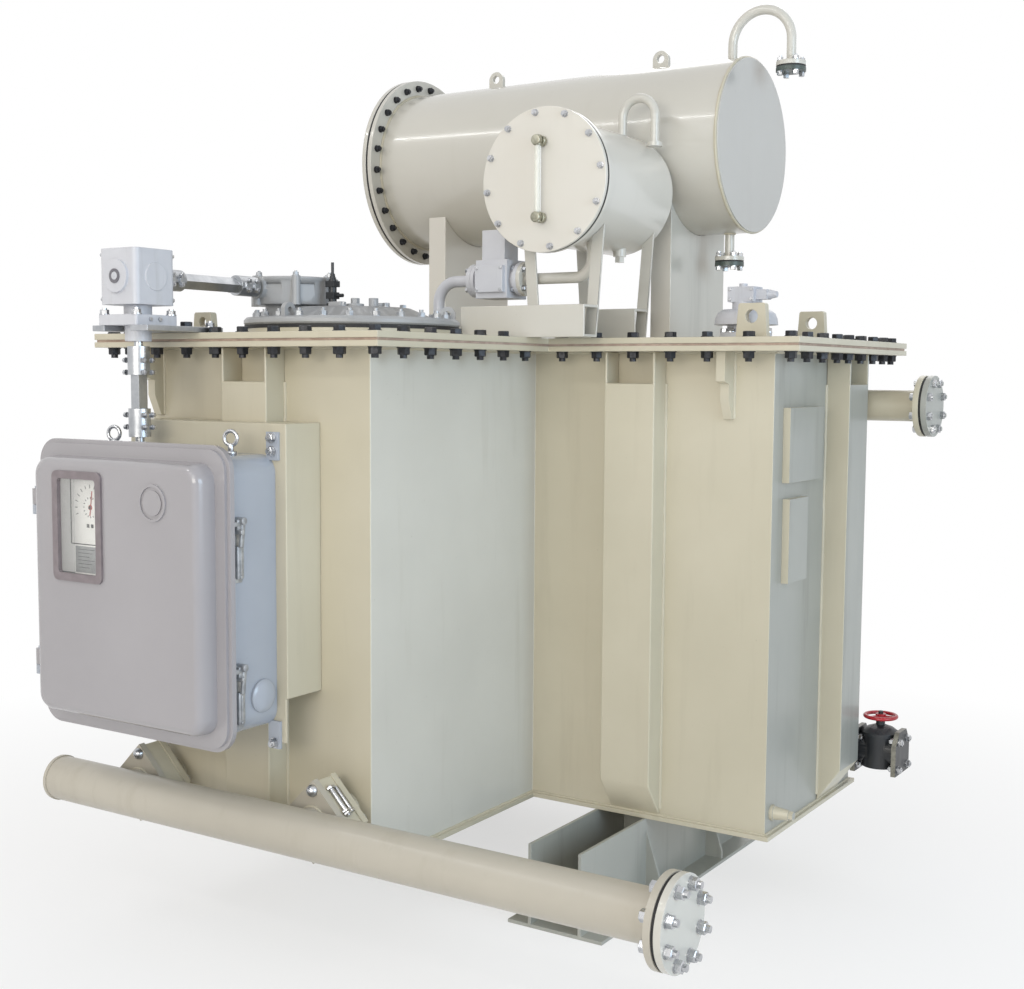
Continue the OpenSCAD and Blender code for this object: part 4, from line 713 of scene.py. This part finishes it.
eyes = []
for x in cabinet["eyes"]:
    eyes += [hoop(17, 4.6, (x, cabinet["eyeLine"], cabinet["top"] + 40), (0.25, -1, 0), 40, 12),
             drum(7, 16, (x, cabinet["eyeLine"], cabinet["top"] + 16), sides=20, edge=1.5),
             drum(14, 9, (x, cabinet["eyeLine"], cabinet["top"] + 4.4), sides=28, edge=2.0)]
settle(smooth(joined(eyes), 40), "cabinet_eye_bolts", brightZinc)
lugs = {"face": -877, "spots": ((-914, 1048, 10), (-914, 1016, 35), (-914, 306, 5), (-1384, 306, 25))}
lugBolts = spread(bolt(19, 9, 26, 12, 6), [((x, lugs["face"], z), front, spin) for x, z, spin in lugs["spots"]])
settle(smooth(lugBolts, 30), "cabinet_lug_bolts", brightZinc)
print("cabinet ready")

# weld beads along the tank

welds = {"pitch": 14, "ripple": 0.0011, "ringRipple": 0.0009}


def bead(start, end, size=5):  # rippled fillet bead between two points, mm
    a, b = Vector(start), Vector(end)
    span, line = (b - a).length, (b - a).normalized()
    obj = drum(size, span, (a + b) / 2, line, 8)
    bpy.ops.object.mode_set(mode="EDIT")
    bpy.ops.mesh.select_mode(type="EDGE")
    selectIn(obj, "edges", lambda e: abs((e.verts[0].co - e.verts[1].co).normalized().dot(line)) > 0.99)
    bpy.ops.mesh.subdivide(number_cuts=max(2, int(span / welds["pitch"])))
    bpy.ops.mesh.select_all(action="SELECT")
    bpy.ops.transform.vertex_random(offset=welds["ripple"], seed=int(span) % 97)
    bpy.ops.object.mode_set(mode="OBJECT")
    return obj


def ringBead(radius, centre, direction, size=5):
    obj = hoop(radius, size, centre, direction, max(24, int(radius * 6.28 / welds["pitch"])), 8)
    bpy.ops.object.mode_set(mode="EDIT")
    bpy.ops.mesh.select_all(action="SELECT")
    bpy.ops.transform.vertex_random(offset=welds["ringRipple"], seed=int(radius))
    bpy.ops.object.mode_set(mode="OBJECT")
    return obj


long, deep, bayDeep, step = tank["long"], tank["deep"], tank["bayDeep"], tank["long"] - tank["bayLong"]
wallTop, top = tank["wall"], tank["cover"]
stiffener = {"half": 75, "low": 20, "high": 1180}
low, high = stiffener["low"], stiffener["high"]
beads = []
for x, y in ((-384, 0), (-1065, -bayDeep), (-384, deep), (-1065, deep)):  # stiffeners on the long walls
    beads += [bead((x + d, y, low), (x + d, y, high)) for d in (-stiffener["half"], stiffener["half"])]
for x, y in ((0, 445), (-long, 445), (-long, -298)):  # and on the ends
    beads += [bead((x, y + d, low), (x, y + d, high)) for d in (-stiffener["half"], stiffener["half"])]
plan = [(0, 0), (-step, 0), (-step, -bayDeep), (-long, -bayDeep), (-long, deep), (0, deep)]
for i, p in enumerate(plan):  # foot and top of the walls
    q = plan[(i + 1) % len(plan)]
    beads += [bead((*p, 0), (*q, 0), 4.5), bead((*p, wallTop), (*q, wallTop), 5.5)]
for x in valves["across"]:  # header branches
    beads += [ringBead(39, (x, y, valves["level"]), back, size) for y, size in ((-bayDeep, 5), (-787, 4), (-872, 4))]
for radius, x, axis, size in ((58, 184.5, "header", 4.5), (45, 1, "outlet", 5), (45, 199.5, "outlet", 4),
                              (31, 1, "drain", 5), (246, -1409.5, "conservator", 4.5),
                              (243.5, -262, "conservator", 4.5)):
    beads.append(ringBead(radius, (x, *axisOf[axis]), right, size))
beads.append(ringBead(166, (tapDrum["x"], -218.5, tapDrum["z"]), back, 4))
for x, z, size in ((-324, 2103, 3.5), (-322, 1613, 3.5), (-322, 1548, 3), (-146, 2082, 3)):  # breather and drain pipes
    beads.append(ringBead(14.5, (x, axisOf["conservator"][0], z), up, size))
for x, y, half in ((-62, -4, 43), (-102, 520, 43), (-1383, 520, 43), (-1345, -660, 36)):  # lifting lugs
    beads += [bead((x - half, y + d, top), (x + half, y + d, top), 4) for d in (-11, 11)]
for x, y in ((-124, 0), (-1425, -bayDeep), (-124, deep), (-1331, deep)):  # rim brackets
    beads += [bead((x + d, y, 1092), (x + d, y, 1262), 4) for d in (-12.5, 12.5)]
for x in (-1269, -484):  # conservator saddles on the cover
    beads += [bead((x, 240, top), (x + 63, 240, top), 4), bead((x + 63, 240, top), (x + 63, 600, top), 4)]
settle(smooth(joined(beads), 60), "weld_beads", paintedWeld)
print("weld beads:", len(beads))

# studio: floor, soft lamps, camera

studio = {"floor": 40.0, "world": 0.56, "key": 195, "fill": 140, "back": 45, "strip": 30, "streak": 24,
          "aim": (0, 0, 1.1)}


def seenDirectly(owner):  # 1 for rays from the lens, off gloss or through glass
    rays = addNode(owner, "ShaderNodeLightPath").outputs
    seen = addNode(owner, "ShaderNodeMath", {"operation": "MAXIMUM"},
                   {0: rays["Is Camera Ray"], 1: rays["Is Glossy Ray"]})
    seenAll = addNode(owner, "ShaderNodeMath", {"operation": "MAXIMUM"},
                      {0: seen.outputs[0], 1: rays["Is Transmission Ray"]})
    return seenAll.outputs[0]


bpy.ops.object.select_all(action="DESELECT")
bpy.ops.mesh.primitive_plane_add(size=studio["floor"], location=(0, 0, 0))
floor = bpy.context.object
floor.name = "studio_floor"
floorMat, floorShader, floorPlace = newMaterial("paleStudioFloor")  # matt sheet, white in the distance
floorShader.inputs["Base Color"].default_value = (0.86, 0.86, 0.86, 1)
floorShader.inputs["Roughness"].default_value = 0.9
reach = addNode(floorMat, "ShaderNodeVectorMath", {"operation": "LENGTH"}, {0: floorPlace})
fade = addNode(floorMat, "ShaderNodeMapRange", {"From Min": 1.2, "From Max": 3.2, "To Min": 0.62, "To Max": 1.0},
               {"Value": reach.outputs["Value"]})
share = addNode(floorMat, "ShaderNodeMath", {"operation": "MULTIPLY"},
                {0: seenDirectly(floorMat), 1: fade.outputs["Result"]})
glow = addNode(floorMat, "ShaderNodeEmission", {"Color": (1, 1, 1, 1), "Strength": 1.0})
mixed = addNode(floorMat, "ShaderNodeMixShader", {},
                {0: share.outputs[0], 1: floorShader.outputs[0], 2: glow.outputs[0]})
floorMat.node_tree.links.new(mixed.outputs[0], floorMat.node_tree.nodes["Material Output"].inputs["Surface"])
floor.data.materials.append(floorMat)

world = bpy.data.worlds.new("studioWorld")
world.use_nodes = True
bpy.context.scene.world = world
sky = world.node_tree.nodes["Background"]
sky.inputs["Color"].default_value = (1, 1, 1, 1)
skyLevel = addNode(world, "ShaderNodeMapRange", {"To Min": studio["world"], "To Max": 1.0},
                   {"Value": seenDirectly(world)})
world.node_tree.links.new(skyLevel.outputs["Result"], sky.inputs["Strength"])

lamps = [("keyLamp", (1.6, -7.4, 2.5), (5.0, 2.2), studio["key"], (1.0, 0.955, 0.875)),
         ("fillLamp", (5.8, -1.3, 2.2), (3.0, 3.0), studio["fill"], (0.62, 0.81, 1.0)),
         ("backLamp", (-1.0, 4.8, 4.5), (3.0, 3.0), studio["back"], (1.0, 1.0, 1.0)),
         ("stripLamp", (0.2, -4.4, 4.0), (4.0, 0.3), studio["strip"], (1.0, 0.99, 0.97)),
         ("streakLamp", (-2.7, -3.0, 4.95), (2.8, 0.12), studio["streak"], (1.0, 1.0, 1.0))]
for name, place, size, power, tint in lamps:
    lamp = bpy.data.lights.new(name, "AREA")
    lamp.shape, lamp.size, lamp.size_y, lamp.energy, lamp.color = "RECTANGLE", size[0], size[1], power, tint
    holder = bpy.data.objects.new(name, lamp)
    bpy.context.scene.collection.objects.link(holder)
    holder.location = place
    holder.rotation_euler = (Vector(studio["aim"]) - Vector(place)).to_track_quat("-Z", "Y").to_euler()

lens = {"place": (1398.73, -3401.01, 1203.35), "turn": (84.9953, -0.3974, 32.5262), "focal": 49.676, "sensor": 36.0,
        "shift": (-0.00849, 0.00325)}
camera = bpy.data.objects.new("photoCamera", bpy.data.cameras.new("photoCamera"))
bpy.context.scene.collection.objects.link(camera)
camera.location = at(*lens["place"])
camera.rotation_euler = [math.radians(a) for a in lens["turn"]]
camera.data.sensor_fit, camera.data.sensor_width, camera.data.lens = "HORIZONTAL", lens["sensor"], lens["focal"]
camera.data.shift_x, camera.data.shift_y = lens["shift"]
camera.data.clip_end = 60
bpy.context.scene.camera = camera
bpy.context.scene.view_settings.view_transform = "Standard"
print("studio ready")
